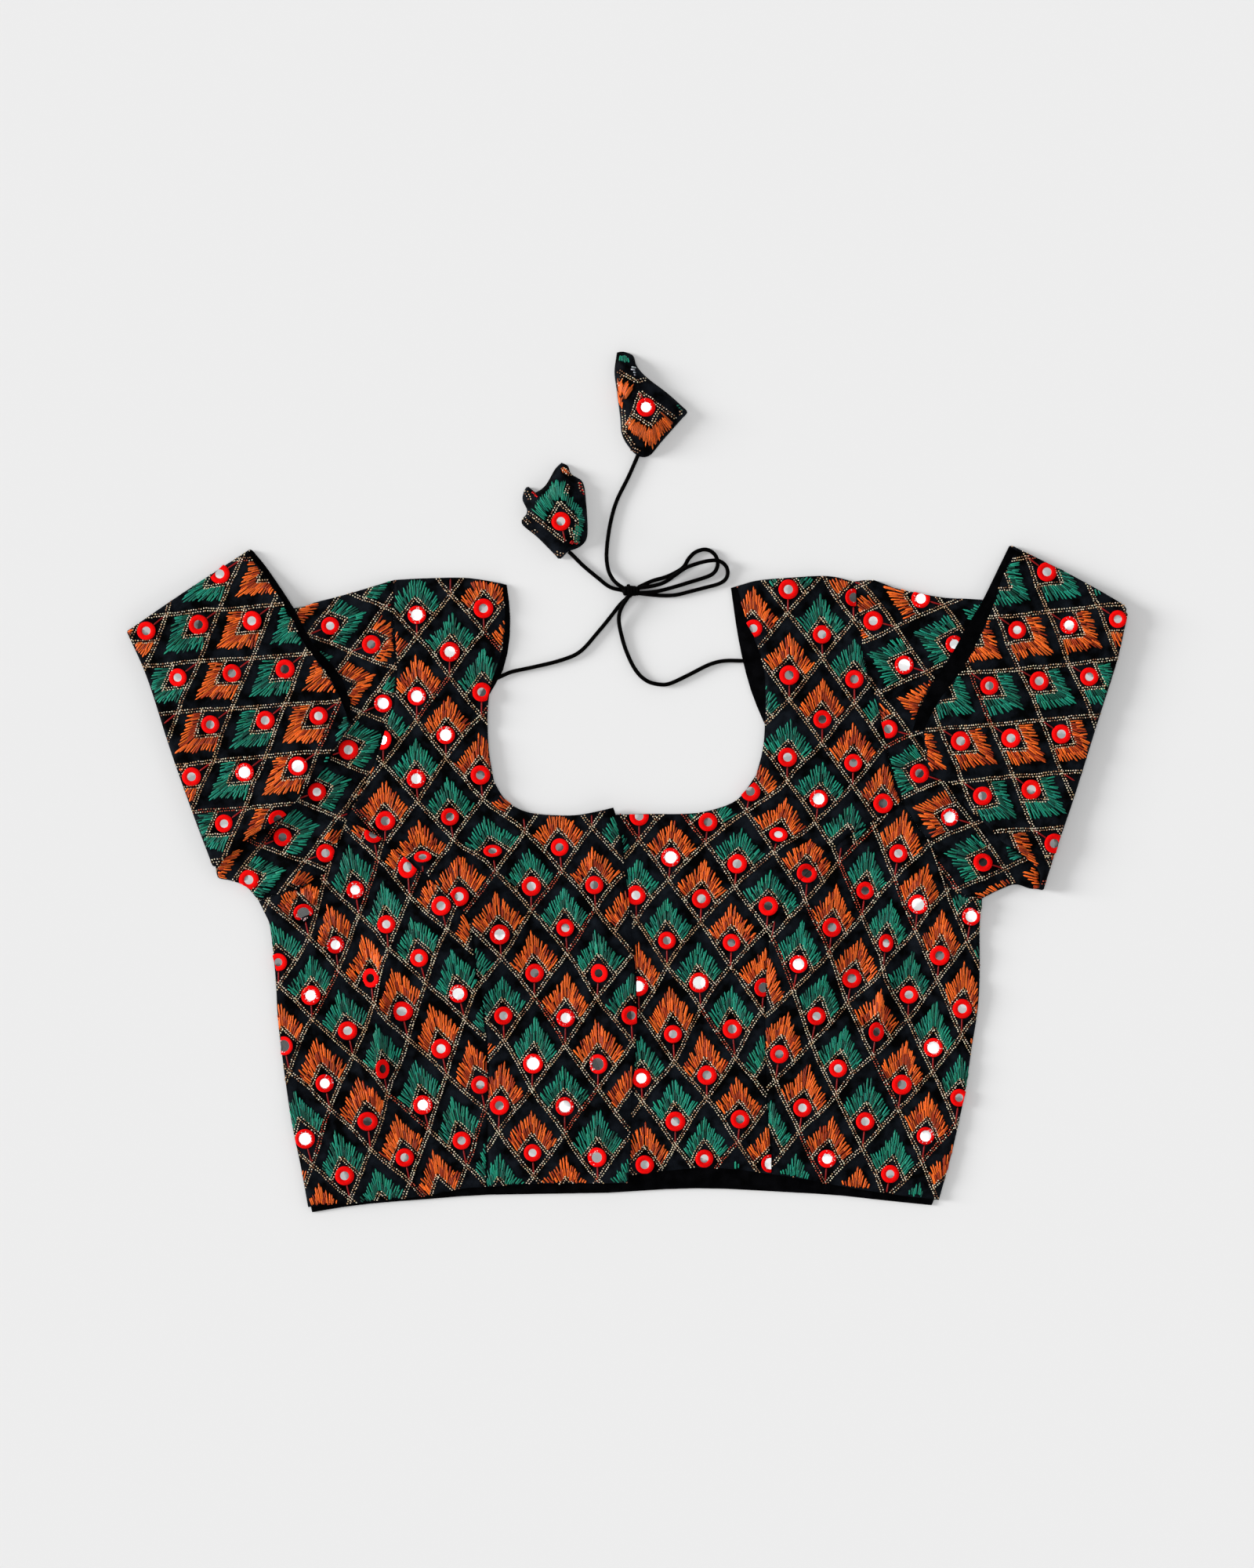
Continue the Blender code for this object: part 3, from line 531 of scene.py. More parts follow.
def turned_in(distance):
    """How far cloth drops towards a seam or a turned edge, at a distance from it."""
    return SEAM_DEPTH * math.exp(-((distance / SEAM_WIDTH) ** 2))


def cloth_piece(node, bm, materials):
    """A cloth mesh in place of its node, and the tree that finds its right side from above."""
    bmesh.ops.recalc_face_normals(bm, faces=bm.faces)
    mesh = bpy.data.meshes.new(f"{node}_satin")
    bm.to_mesh(mesh)
    hidden = [face for face in bm.faces if face.material_index == 1]
    bmesh.ops.delete(bm, geom=hidden, context="FACES")
    surface = BVHTree.FromBMesh(bm)
    bm.free()
    mesh.shade_smooth()
    mesh.set_sharp_from_angle(angle=math.radians(60))
    for material in materials:
        mesh.materials.append(material)
    piece = bpy.data.objects.new(f"{node}_satin", mesh)
    return hand_over(piece, "embroidered_satin", node), surface


def front_panel(node, outer, inner, top, bottom, lift):
    """A panel: a grid laid between its four edges, closer at its rails, lifted and thickened."""
    rows = len(outer) - 1
    row_length = (outer[-1] - outer[0]).length / rows
    bm = bmesh.new()
    bmesh.ops.create_grid(bm, x_segments=len(top) - 1, y_segments=rows, size=1.0)
    for vertex in bm.verts:
        across = (vertex.co.x + 1) / 2
        across -= math.sin(across * math.tau) / math.tau * EDGE_CROWDING
        row = round((vertex.co.y + 1) / 2 * rows)
        place = patch(outer, inner, top, bottom, row, across)
        width = (outer[row] - inner[row]).length
        edge = min(across * width, (1 - across) * width, row * row_length, (rows - row) * row_length)
        z = FRONT_TOP + lift(place.x, place.y) - turned_in(edge)
        vertex.co = (place.x * MM, place.y * MM, z * MM)
    lower = bmesh.ops.extrude_face_region(bm, geom=bm.faces[:], use_keep_orig=True)["geom"]
    lower = [part for part in lower if isinstance(part, bmesh.types.BMVert)]
    bmesh.ops.translate(bm, verts=lower, vec=(0, 0, -SHEET * MM))
    panel, SURFACES[node] = cloth_piece(node, bm, [satin])
    width, length, area = SHEETS[node]


satin = woven(
    finish("blue-black satin", 0.6, 0.015),
    (0.0003, 0.0003, 0.0004, 1), (0.0065, 0.0085, 0.0120, 1), 900, 0.0003,
)
Seams = collections.namedtuple("Seams", "body_armhole sleeve_armhole centre_princess side_princess")
SEAMS = {}
SURFACES = {}
# The width, length and area of each panel's flat cut, in metres.
SHEETS = {
    "centre_front_left": (0.17, 0.40, 0.046),
    "centre_front_right": (0.17, 0.40, 0.046),
    "side_front_left": (0.155, 0.26, 0.028),
    "side_front_right": (0.155, 0.27, 0.028),
}
for side, half in HALVES.items():
    armhole = rail((half.strap_armhole, STRAP_ROWS), (half.scye, SCYE_COLUMNS))
    princess = rail((half.princess[:BUST_POINT + 1], BUST_ROWS), (half.princess[BUST_POINT:], WAIST_ROWS))
    seams = Seams(
        moved_aside(armhole, half.inward * SEAM_GAP), moved_aside(armhole, -half.inward * SEAM_GAP),
        moved_aside(princess, half.inward * SEAM_GAP), moved_aside(princess, -half.inward * SEAM_GAP),
    )
    corner = seams.body_armhole[STRAP_ROWS]
    seams.centre_princess[0] = corner + (seams.centre_princess[0] - princess[0])
    seams.side_princess[0] = corner + (seams.side_princess[0] - princess[0])
    SEAMS[side] = seams

    opening = FRONT_EDGE
    lift = upper_front_lift
    if side == "right":
        under_edge = [(x - UNDERLAP, y) for x, y in FRONT_EDGE[1:-1]]
        opening = [half.neck_front[-1], *under_edge, half.centre_hem[-1]]
        lift = front_lift
    outer = seams.body_armhole[:STRAP_ROWS] + seams.centre_princess
    inner = rail((half.neck_side, STRAP_ROWS), (half.neck_front, BUST_ROWS), (opening, WAIST_ROWS))
    top = evenly([outer[0], *half.shoulder[1:]], CENTRE_COLUMNS)
    bottom = evenly([outer[-1], *half.centre_hem[1:]], CENTRE_COLUMNS)
    front_panel(f"centre_front_{side}", outer, inner, top, bottom, lift)

    inner = seams.side_princess
    top = seams.body_armhole[STRAP_ROWS + 1:][::-1] + [inner[0]]
    bottom = evenly([*half.side_hem[:-1], inner[-1]], len(top))
    outer = evenly([top[0], *half.side_seam[1:-1], bottom[0]], len(inner))
    front_panel(f"side_front_{side}", outer, inner, top, bottom, front_lift)


# Sleeves: one tube of lined satin each, set in the armhole, laid flat and turned back over itself at about
# half its length. The open cuff shows the black lining of its lower layer as a band.
TUBE_HALF = FRONT_TOP / 2
TUBE_ROUNDING = [math.radians(angle) for angle in (0, 30, 60, 90)]
TURN_RADIUS = (2 * FRONT_TOP + GAP) / 2
TURN_ANGLES = (-75, -50, -25, 0, 25, 50, 75)
DROOP_START = 4.0
DROOP_LENGTH = 34.0
SLEEVE_ROWS = 26
SLEEVE_ROW_LENGTH = 3.0
END_ROWS = 30
END_FADE_ROWS = 6
ARMHOLE_STEP = 2
END_CREASES = [
    Crease(-262, 14, -214, 52, 7, 3.0),
    Crease(-236, 44, -190, 92, 8, 1.8),
    Crease(-300, 150, -262, 120, 12, 1.2),
    Crease(262, 8, 222, 46, 7, 3.0),
    Crease(240, 50, 202, 74, 8, 1.8),
    Crease(300, 160, 266, 128, 12, 1.2),
    Crease(-250, 190, -205, 120, 5, 0.7),
    Crease(252, 190, 214, 110, 5, 0.7),
]
END_OUTLINES = {}


def across_tube(start, radius, count, first_span, last_span):
    """Where the points of a flattened tube's ring lie across it, from 0 to 1, and how full it is there."""
    rounding = [(start + radius * (1 - math.cos(turn)), math.sin(turn)) for turn in TUBE_ROUNDING]
    ring = [(inset / first_span, height) for inset, height in rounding]
    ring += [(index, 1.0) for index in range(2, count - 2)]
    ring += [(count - 1 - inset / last_span, height) for inset, height in reversed(rounding)]
    return [(place / (count - 1), height) for place, height in ring]


for side, half in HALVES.items():
    armhole = SEAMS[side].sleeve_armhole[::ARMHOLE_STEP]
    samples = len(armhole)
    turn = evenly(half.turn, samples)
    axis = moved_aside(turn, half.inward * TURN_RADIUS)
    outward = [(a - b).normalized() for a, b in zip(turn, axis)]
    upper = evenly([armhole[0], *half.sleeve_top[1:-1], axis[0]], SLEEVE_ROWS + 1)
    under = evenly([armhole[-1], *half.underarm[1:-1], axis[-1]], SLEEVE_ROWS + 1)
    end_upper = evenly([axis[0], *half.end_top[1:]], END_ROWS + 1)
    end_under = evenly([axis[-1], *half.end_low[1:]], END_ROWS + 1)
    cuff = evenly(half.cuff, samples)
    cuff_inner = evenly(half.cuff_inner, samples)
    edge_start = Vector(half.sleeve_top[-2])
    edge_run = (Vector(half.sleeve_top[-1]) - edge_start).normalized()
    END_OUTLINES[side] = turn + end_under[1:] + cuff[::-1] + end_upper[-2:0:-1]

    def end_lift(at):
        """The turned-back end's creases, and its drop past the sleeve's top edge, with nothing below it."""
        offset = at - edge_start
        past = half.inward * (offset.x * edge_run.y - offset.y * edge_run.x)
        drop = FRONT_TOP * soft_step((past - DROOP_START) / DROOP_LENGTH)
        return max(crease_height(END_CREASES, at.x, at.y), 0.0) - drop

    def place_on(row, across, level, layer):
        """level is the height in the tube, up to FRONT_TOP. layer is 0 on the floor side and 1 on top."""
        if row <= SLEEVE_ROWS:
            at = patch(upper, under, armhole, axis, row, across)
            rise = front_lift(at.x, at.y) if row < SLEEVE_ROWS else 0.0
            return at, level + (rise - turned_in(row * SLEEVE_ROW_LENGTH)) * layer
        row -= SLEEVE_ROWS + 1
        if row < len(TURN_ANGLES):
            angle = math.radians(TURN_ANGLES[row])
            reach = TURN_RADIUS - level
            at = between(axis, across) + between(outward, across) * (reach * math.cos(angle))
            return at, TURN_RADIUS + reach * math.sin(angle)
        row -= len(TURN_ANGLES)
        ends = [a.lerp(b, layer) for a, b in zip(cuff, cuff_inner)]
        at = patch(end_upper[:-1] + [ends[0]], end_under[:-1] + [ends[-1]], axis, ends, row, across)
        fade = soft_step(row / END_FADE_ROWS)
        lift = end_lift(at) * fade + (1 - layer) * fade * pucker_lift(at.x, at.y)
        return at, 2 * TURN_RADIUS - level + lift

    rows = SLEEVE_ROWS + 1 + len(TURN_ANGLES) + END_ROWS + 1

    def ring_points(row, half_height, start):
        """One ring of the tube: over its top layer from edge to edge, and back through its lower layer."""
        spans = []
        for one, other in ((0, 1), (samples - 2, samples - 1)):
            near, _ = place_on(row, one / (samples - 1), TUBE_HALF, 0.5)
            far, _ = place_on(row, other / (samples - 1), TUBE_HALF, 0.5)
            spans.append((far - near).length)
        over = across_tube(start, half_height, samples, *spans)
        under_way = [(place, -height) for place, height in over[-2:0:-1]]
        points = []
        for place, height in over + under_way:
            at, z = place_on(row, place, TUBE_HALF + half_height * height, 0.5 + 0.5 * height)
            points.append(Vector((at.x, at.y, z)) * MM)
        return points

    outside = [ring_points(row, TUBE_HALF, 0.0) for row in range(rows)]
    inside = [ring_points(row, GAP / 2, CLOTH) for row in range(rows)]
    rings = outside + inside[::-1]
    around = len(rings[0])
    bm = bmesh.new()
    bmesh.ops.create_grid(bm, x_segments=around, y_segments=len(rings), size=1.0)
    for face in bm.faces:
        ring = (face.calc_center_median().y + 1) / 2 * len(rings)
        face.material_index = 0 if ring < rows or ring > len(rings) - 1 else 1
    for vertex in bm.verts:
        ring = rings[round((vertex.co.y + 1) / 2 * len(rings)) % len(rings)]
        vertex.co = ring[round((vertex.co.x + 1) / 2 * around) % around]
    bmesh.ops.remove_doubles(bm, verts=bm.verts, dist=0.001 * MM)
    node = f"sleeve_{side}"
    sleeve, SURFACES[node] = cloth_piece(node, bm, [satin, lining])


# Mirror work: the satin is covered with one hand-stitched repeat before it is cut. Double rows of small
# metal beads make a trellis of diamonds. Each holds a round mirror bound in red thread, on a short red stem,
# under a bead chevron and a fan of straight silk stitches, green and orange by turns.
BEAD = 1.02
BEAD_PITCH = 1.55
BEAD_ROWS_APART = 1.65
BEAD_STRAY = 0.12
STITCH_WIDTH = 1.0
STITCH_HEIGHT = 0.7
LEAST_STITCH = 0.3
STEEPEST = 0.35
RING_INNER = 2.5
RING_WIDE = (3.0, 3.6)
RING_OUTER = 6.1
RING_HEIGHT = 0.65
RING_TURNS = 36
RING_RIDGE = 0.12
RIM_LOOKS = 12
SEAM_STEP = 0.5
SEAM_STEPS = 12
SEAM_MARGIN = 0.2
LEAST_MIRROR = -2
MIRROR_INSET = 0.28
SIDE_STOPS = (0.0, 0.25, 0.5, 0.75, 1.0)
CHEVRON = 0.5
# A fan's stitches start on the chevron and lean outwards along it. It has two tiers: where each starts and
# ends as a share of its reach, how far apart its stitches are, and the share in the silk's own colour; the
# rest get its painted shade.
FAN_START = 0.515
FAN_REACH = 0.27
FAN_FIRST = 0.12
FAN_TIERS = [(-0.03, 0.62, 1.25, 0.5), (0.40, 1.0, 1.5, 0.8)]
FAN_TIP = (0.60, 0.775)
# The tip stitch has this share of the silk's own colour too, and otherwise its painted shade.
FAN_TIP_LIGHT = 0.9
CREAM = (0.74, 0.63, 0.46)
GOLD = (0.60, 0.38, 0.20)
BROWN = (0.22, 0.09, 0.035)
RUST = (0.48, 0.055, 0.015)
RED = (0.95, 0.003, 0.003)
# The pale pink of the painted glints on a bright mirror's red thread.
PAINTED_GLINT_PINK = (0.90, 0.62, 0.62)
STEM_RED = (0.25, 0.003, 0.003)
SILKS = {"green": (0.008, 0.235, 0.150), "orange": (0.85, 0.135, 0.012)}
# Darker copies of the silk colours: painted shade for stitches that lie in shadow, most of all in a fan's
# lower tier.
SILK_PAINTED_SHADES = {"green": (0.003, 0.075, 0.050), "orange": (0.36, 0.034, 0.004)}
# A row of beads is cream, gold or rust, up to these shares of all rows. In it, this share of the beads has
# the row's own colour, and up to the next share they are brown.
ROW_SHARES = (0.72, 0.88)
BEAD_SHARES = (0.58, 0.80)
# The painted reflection of a bright mirror and of the others: the glass colour, which sets how much light it
# throws back, on one side of a line across the glass and on the other.
BRIGHT_PAINTED_REFLECTIONS = [(0.95, 0.45), (0.6, 0.95), (0.9, 0.65), (0.95, 0.95)]
GLASS_PAINTED_REFLECTIONS = [
    (0.42, 0.06), (0.30, 0.5), (0.20, 0.03), (0.12, 0.4), (0.40, 0.55), (0.36, 0.15), (0.03, 0.10),
]

Repeat = collections.namedtuple("Repeat", "x y side_a side_b green_row pins")
Pinch = collections.namedtuple("Pinch", "x y to_x to_y take_up half_width")
# How the repeat lies on each piece: the middle of one mirror, the two sides of a diamond from its foot, which
# rows of diamonds are green, and pins, where cloth that turns or stretches carries a mirror (row, column) to.
REPEATS = {
    "centre_front_left": Repeat(
        -64.5, -10.6, (-22.7, 25.0), (20.9, 28.1), 0,
        [(0, 1, -44, 20), (5, 2, -134, 169), (2, 1, -94, 66), (0, 0, -60, -4), (-4, -2, -19, -177),
         (-1, -2, -79, -87), (-3, -2, -40, -145)]),
    "side_front_left": Repeat(
        -177.9, -96.5, (-23.9, 22.9), (12.8, 34.2), 0,
        [(1, 2, -174, -6), (2, 1, -206, -22), (-2, -1, -142, -178), (1, -1, -218, -106), (-1, 2, -132, -50)]),
    "centre_front_right": Repeat(
        94.6, -23.6, (-20.7, 28.1), (22.3, 24.0), 0,
        [(1, -1, 47, -13), (-1, -5, 12, -183), (2, 2, 103, 77), (0, -1, 66, -40), (-2, -3, 71, -152),
         (0, -4, 9, -127), (-1, -1, 85.6, -68.3)]),
    "side_front_right": Repeat(
        158.3, -97.4, (-14.1, 33.4), (21.8, 23.8), 1,
        [(2, -1, 109, -54), (2, 2, 173, 16), (1, -2, 96, -112), (0, 3, 219, -24), (-2, 0, 190, -164)]),
    "sleeve_left": Repeat(-177.3, 83.0, (21.0, 28.0), (27.0, -11.0), 0, []),
    "sleeve_right": Repeat(176.8, 136.5, (-30.5, -13.5), (-20.0, 28.0), 0, []),
    "sleeve_left_end": Repeat(-251.6, 131.0, (-13.1, -32.8), (-34.1, -2.7), 1, []),
    "sleeve_right_end": Repeat(262.2, 125.7, (31.7, 2.8), (13.6, -33.2), 0, []),
}
# The mirrors that throw back the light lie within a little of these places: their glass is wider and gets a
# bright painted reflection, and painted glints of it show in their thread too.
BRIGHT_WITHIN = 11
GLINTS = 22
BRIGHT_PLACES = [
    (-135, 170), (-110, 143), (-159, 114), (-131, 114), (-116, 91), (-136, 62), (-242, 69), (-209, 69),
    (-174, -6), (-69, 41), (-207, -22), (-79, -28), (-189, -38), (-203, -72), (-104, -73), (-36, -88),
    (-191, -130), (-129, -142), (-204, -164), (-60, -117), (-41, -144), (-17, -118), (-19, -176),
    (121, 47), (27, 15), (198, 32), (187, -18), (218, -24), (7, -68), (46, -68), (86, -67), (108, -54),
    (196, -104), (190, -164), (125, -178), (10, -128), (88, -178), (-217, -106), (140, 180), (186, 176),
    (177, 136), (210, 154), (280, 160), (12, 300),
]
# How a pin's hold fades with the diamonds between, against the rest of the cloth's hold.
PIN_NEAR = 0.35
PIN_FALL = 1.5
PIN_REST = 0.08
# How far small puckers of two sizes shift the stitching.
PUCKER_SHIFTS = [(32, 1.7), (11, 0.7)]
# Where a narrow fold takes up cloth, so that the repeat is drawn together across it.
PINCHES = [
    Pinch(-160, -25, -157, -168, 3.2, 7),
    Pinch(163, -34, 160, -104, 3.0, 6),
    Pinch(-160, 15, -70, 17, 2.6, 6),
    Pinch(82, 28, 142, 20, 2.2, 6),
]
PINCH_REACH = 4
PINCH_ENDS = 5


def repeat_place(repeat, a, b):
    """Where the repeat carries a place of its own, in diamonds from its first mirror."""
    side_a = Vector(repeat.side_a)
    side_b = Vector(repeat.side_b)
    start = Vector((repeat.x, repeat.y))
    shift = Vector((0, 0))
    total = PIN_REST
    for row, column, x, y in repeat.pins:
        weight = 1 / (PIN_NEAR + (a - row) ** 2 + (b - column) ** 2) ** PIN_FALL
        shift += weight * (Vector((x, y)) - start - row * side_a - column * side_b)
        total += weight
    place = start + a * side_a + b * side_b + shift / total
    for size, reach in PUCKER_SHIFTS:
        at = Vector((place.x / size, place.y / size, size))
        place += Vector((noise.noise(at), noise.noise(at + Vector((0, 0, 7))))) * reach
    return place


def pinched(place):
    """A place on the cloth after narrow folds have drawn it in, and the ways in which they squeeze it."""
    moved = place.copy()
    squeeze = []
    for pinch in PINCHES:
        run = Vector((pinch.to_x - pinch.x, pinch.to_y - pinch.y))
        offset = place - Vector((pinch.x, pinch.y))
        along = offset.dot(run) / run.length_squared
        side = Vector((run.y, -run.x)).normalized()
        u = offset.dot(side) / pinch.half_width
        if abs(u) > PINCH_REACH or not 0 < along < 1:
            continue
        hold = math.exp(-u * u / 2) * soft_step(min(along, 1 - along) * PINCH_ENDS)
        moved -= side * (pinch.take_up * u * hold)
        squeeze.append((side, 1 - pinch.take_up / pinch.half_width * (1 - u * u) * hold))
    return moved, squeeze


def small_mesh(name, bm, rounded=True):
    """A small shape to be set many times: its mesh and its corner places."""
    bm.verts.layers.float_color.new("thread")
    bmesh.ops.recalc_face_normals(bm, faces=bm.faces)
    for face in bm.faces:
        face.smooth = rounded
    mesh = bpy.data.meshes.new(name)
    bm.to_mesh(mesh)
    bm.free()
    places = [number for vertex in mesh.vertices for number in vertex.co]
    return mesh, places


def set_down(target, shape, matrix, colour, cut=None):
    """One more copy of a small shape in a piece, in its own colour. A seam may cut a part of it off."""
    mesh, places = shape
    mesh.vertices.foreach_set("co", places)
    colours = colour if len(colour) > 3 else (*colour, 1.0) * len(mesh.vertices)
    mesh.attributes["thread"].data.foreach_set("color", colours)
    mesh.transform(matrix)
    if not cut:
        target.from_mesh(mesh)
        return
    bm = bmesh.new()
    bm.from_mesh(mesh)
    geom = bm.verts[:] + bm.edges[:] + bm.faces[:]
    bmesh.ops.bisect_plane(bm, geom=geom, plane_co=cut[0], plane_no=cut[1], clear_outer=True)
    bmesh.ops.holes_fill(bm, edges=[edge for edge in bm.edges if edge.is_boundary], sides=0)
    rest = bpy.data.meshes.new("rest")
    bm.to_mesh(rest)
    bm.free()
    target.from_mesh(rest)
    bpy.data.meshes.remove(rest)


bm = bmesh.new()
bmesh.ops.create_icosphere(bm, subdivisions=1, radius=0.5, matrix=Matrix.Diagonal((1, 1, 0.85, 1)))
bead_shape = small_mesh("bead", bm)

bm = bmesh.new()
bmesh.ops.create_uvsphere(bm, u_segments=6, v_segments=3, radius=0.5)
bmesh.ops.rotate(bm, verts=bm.verts, matrix=Matrix.Rotation(math.radians(90), 3, "Y"))
for vertex in bm.verts:
    if abs(vertex.co.x) < 0.4:
        vertex.co = (vertex.co.x * 1.45, vertex.co.y * 1.15, vertex.co.z * 1.15 + 0.08)
    else:
        vertex.co.z = -0.25
stitch_shape = small_mesh("stitch", bm)


def ring_shape(opening):
    """Red thread bound over a mirror's edge: a flat ring with a ridge for each turn of thread."""
    bm = bmesh.new()
    wide = (RING_OUTER - opening) / 2
    start = bmesh.ops.create_circle(bm, segments=8, radius=wide)["verts"]
    bmesh.ops.rotate(bm, verts=start, matrix=Matrix.Rotation(math.radians(90), 3, "X"))
    bmesh.ops.scale(bm, verts=start, vec=(1, 1, RING_HEIGHT / wide))
    bmesh.ops.translate(bm, verts=start, vec=(opening + wide, 0, 0.2))
    bmesh.ops.spin(
        bm, geom=bm.verts[:] + bm.edges[:], cent=(0, 0, 0), axis=(0, 0, 1), angle=math.tau,
        steps=RING_TURNS, use_merge=True,
    )
    for vertex in bm.verts:
        if vertex.co.z > 0:
            turn = round(math.atan2(vertex.co.y, vertex.co.x) / math.tau * RING_TURNS)
            vertex.co.z *= 1.0 + RING_RIDGE * (-1) ** turn
    return small_mesh("binding", bm)


ring_shapes = {opening: ring_shape(opening) for opening in (RING_INNER, *RING_WIDE)}

bm = bmesh.new()
bmesh.ops.create_circle(bm, cap_ends=True, segments=24, radius=1.0)
bmesh.ops.inset_region(bm, faces=bm.faces[:], thickness=0.42, use_even_offset=True)
bmesh.ops.poke(bm, faces=[face for face in bm.faces if len(face.verts) > 4])
under = bmesh.ops.extrude_face_region(bm, geom=bm.faces[:], use_keep_orig=True)["geom"]
under = [part for part in under if isinstance(part, bmesh.types.BMVert)]
bmesh.ops.translate(bm, verts=under, vec=(0, 0, -0.2))
glass_shape = small_mesh("glass", bm, rounded=False)


def threaded(material, threads, depth):
    """Colours a material by each stitch's or bead's own thread colour, with fine streaks in it."""
    nodes, links, shader, fabric = on_weave(material, threads, 0.5, depth)
    colour = nodes.new("ShaderNodeAttribute")
    colour.attribute_name = "thread"
    streaks = nodes.new("ShaderNodeMapRange")
    for label, value in (("From Min", 0.3), ("From Max", 0.7), ("To Min", 0.72), ("To Max", 1.15)):
        streaks.inputs[label].default_value = value
    links.new(fabric.outputs["Height"], streaks.inputs["Value"])
    tint = nodes.new("ShaderNodeVectorMath")
    tint.operation = "SCALE"
    links.new(colour.outputs["Color"], tint.inputs[0])
    links.new(streaks.outputs["Result"], tint.inputs["Scale"])
    links.new(tint.outputs["Vector"], shader.inputs["Base Color"])
    return material


silk = threaded(finish("embroidery silk", 0.36, 0.2), 2600, 0.0002)
binding = threaded(finish("red binding thread", 0.7, 0.03), 2600, 0.0002)
zari = threaded(finish("metal beads", 0.35, 0.6, Metallic=0.25), 2200, 0.0001)
# Mirror glass has its painted reflection as its colour: dark, grey or bright by the tones that it is given.
glass = threaded(finish("mirror glass", 0.12, 0.5, Metallic=1.0), 60, 0.00005)


def varied(colour, chance, low=0.7, high=1.15):
    """The colour, lighter or darker, and a very little off its hue."""
    level = chance.uniform(low, high)
    return tuple(min(channel * level * chance.uniform(0.93, 1.07), 1.0) for channel in colour)


DOWN = Vector((0, 0, -1))


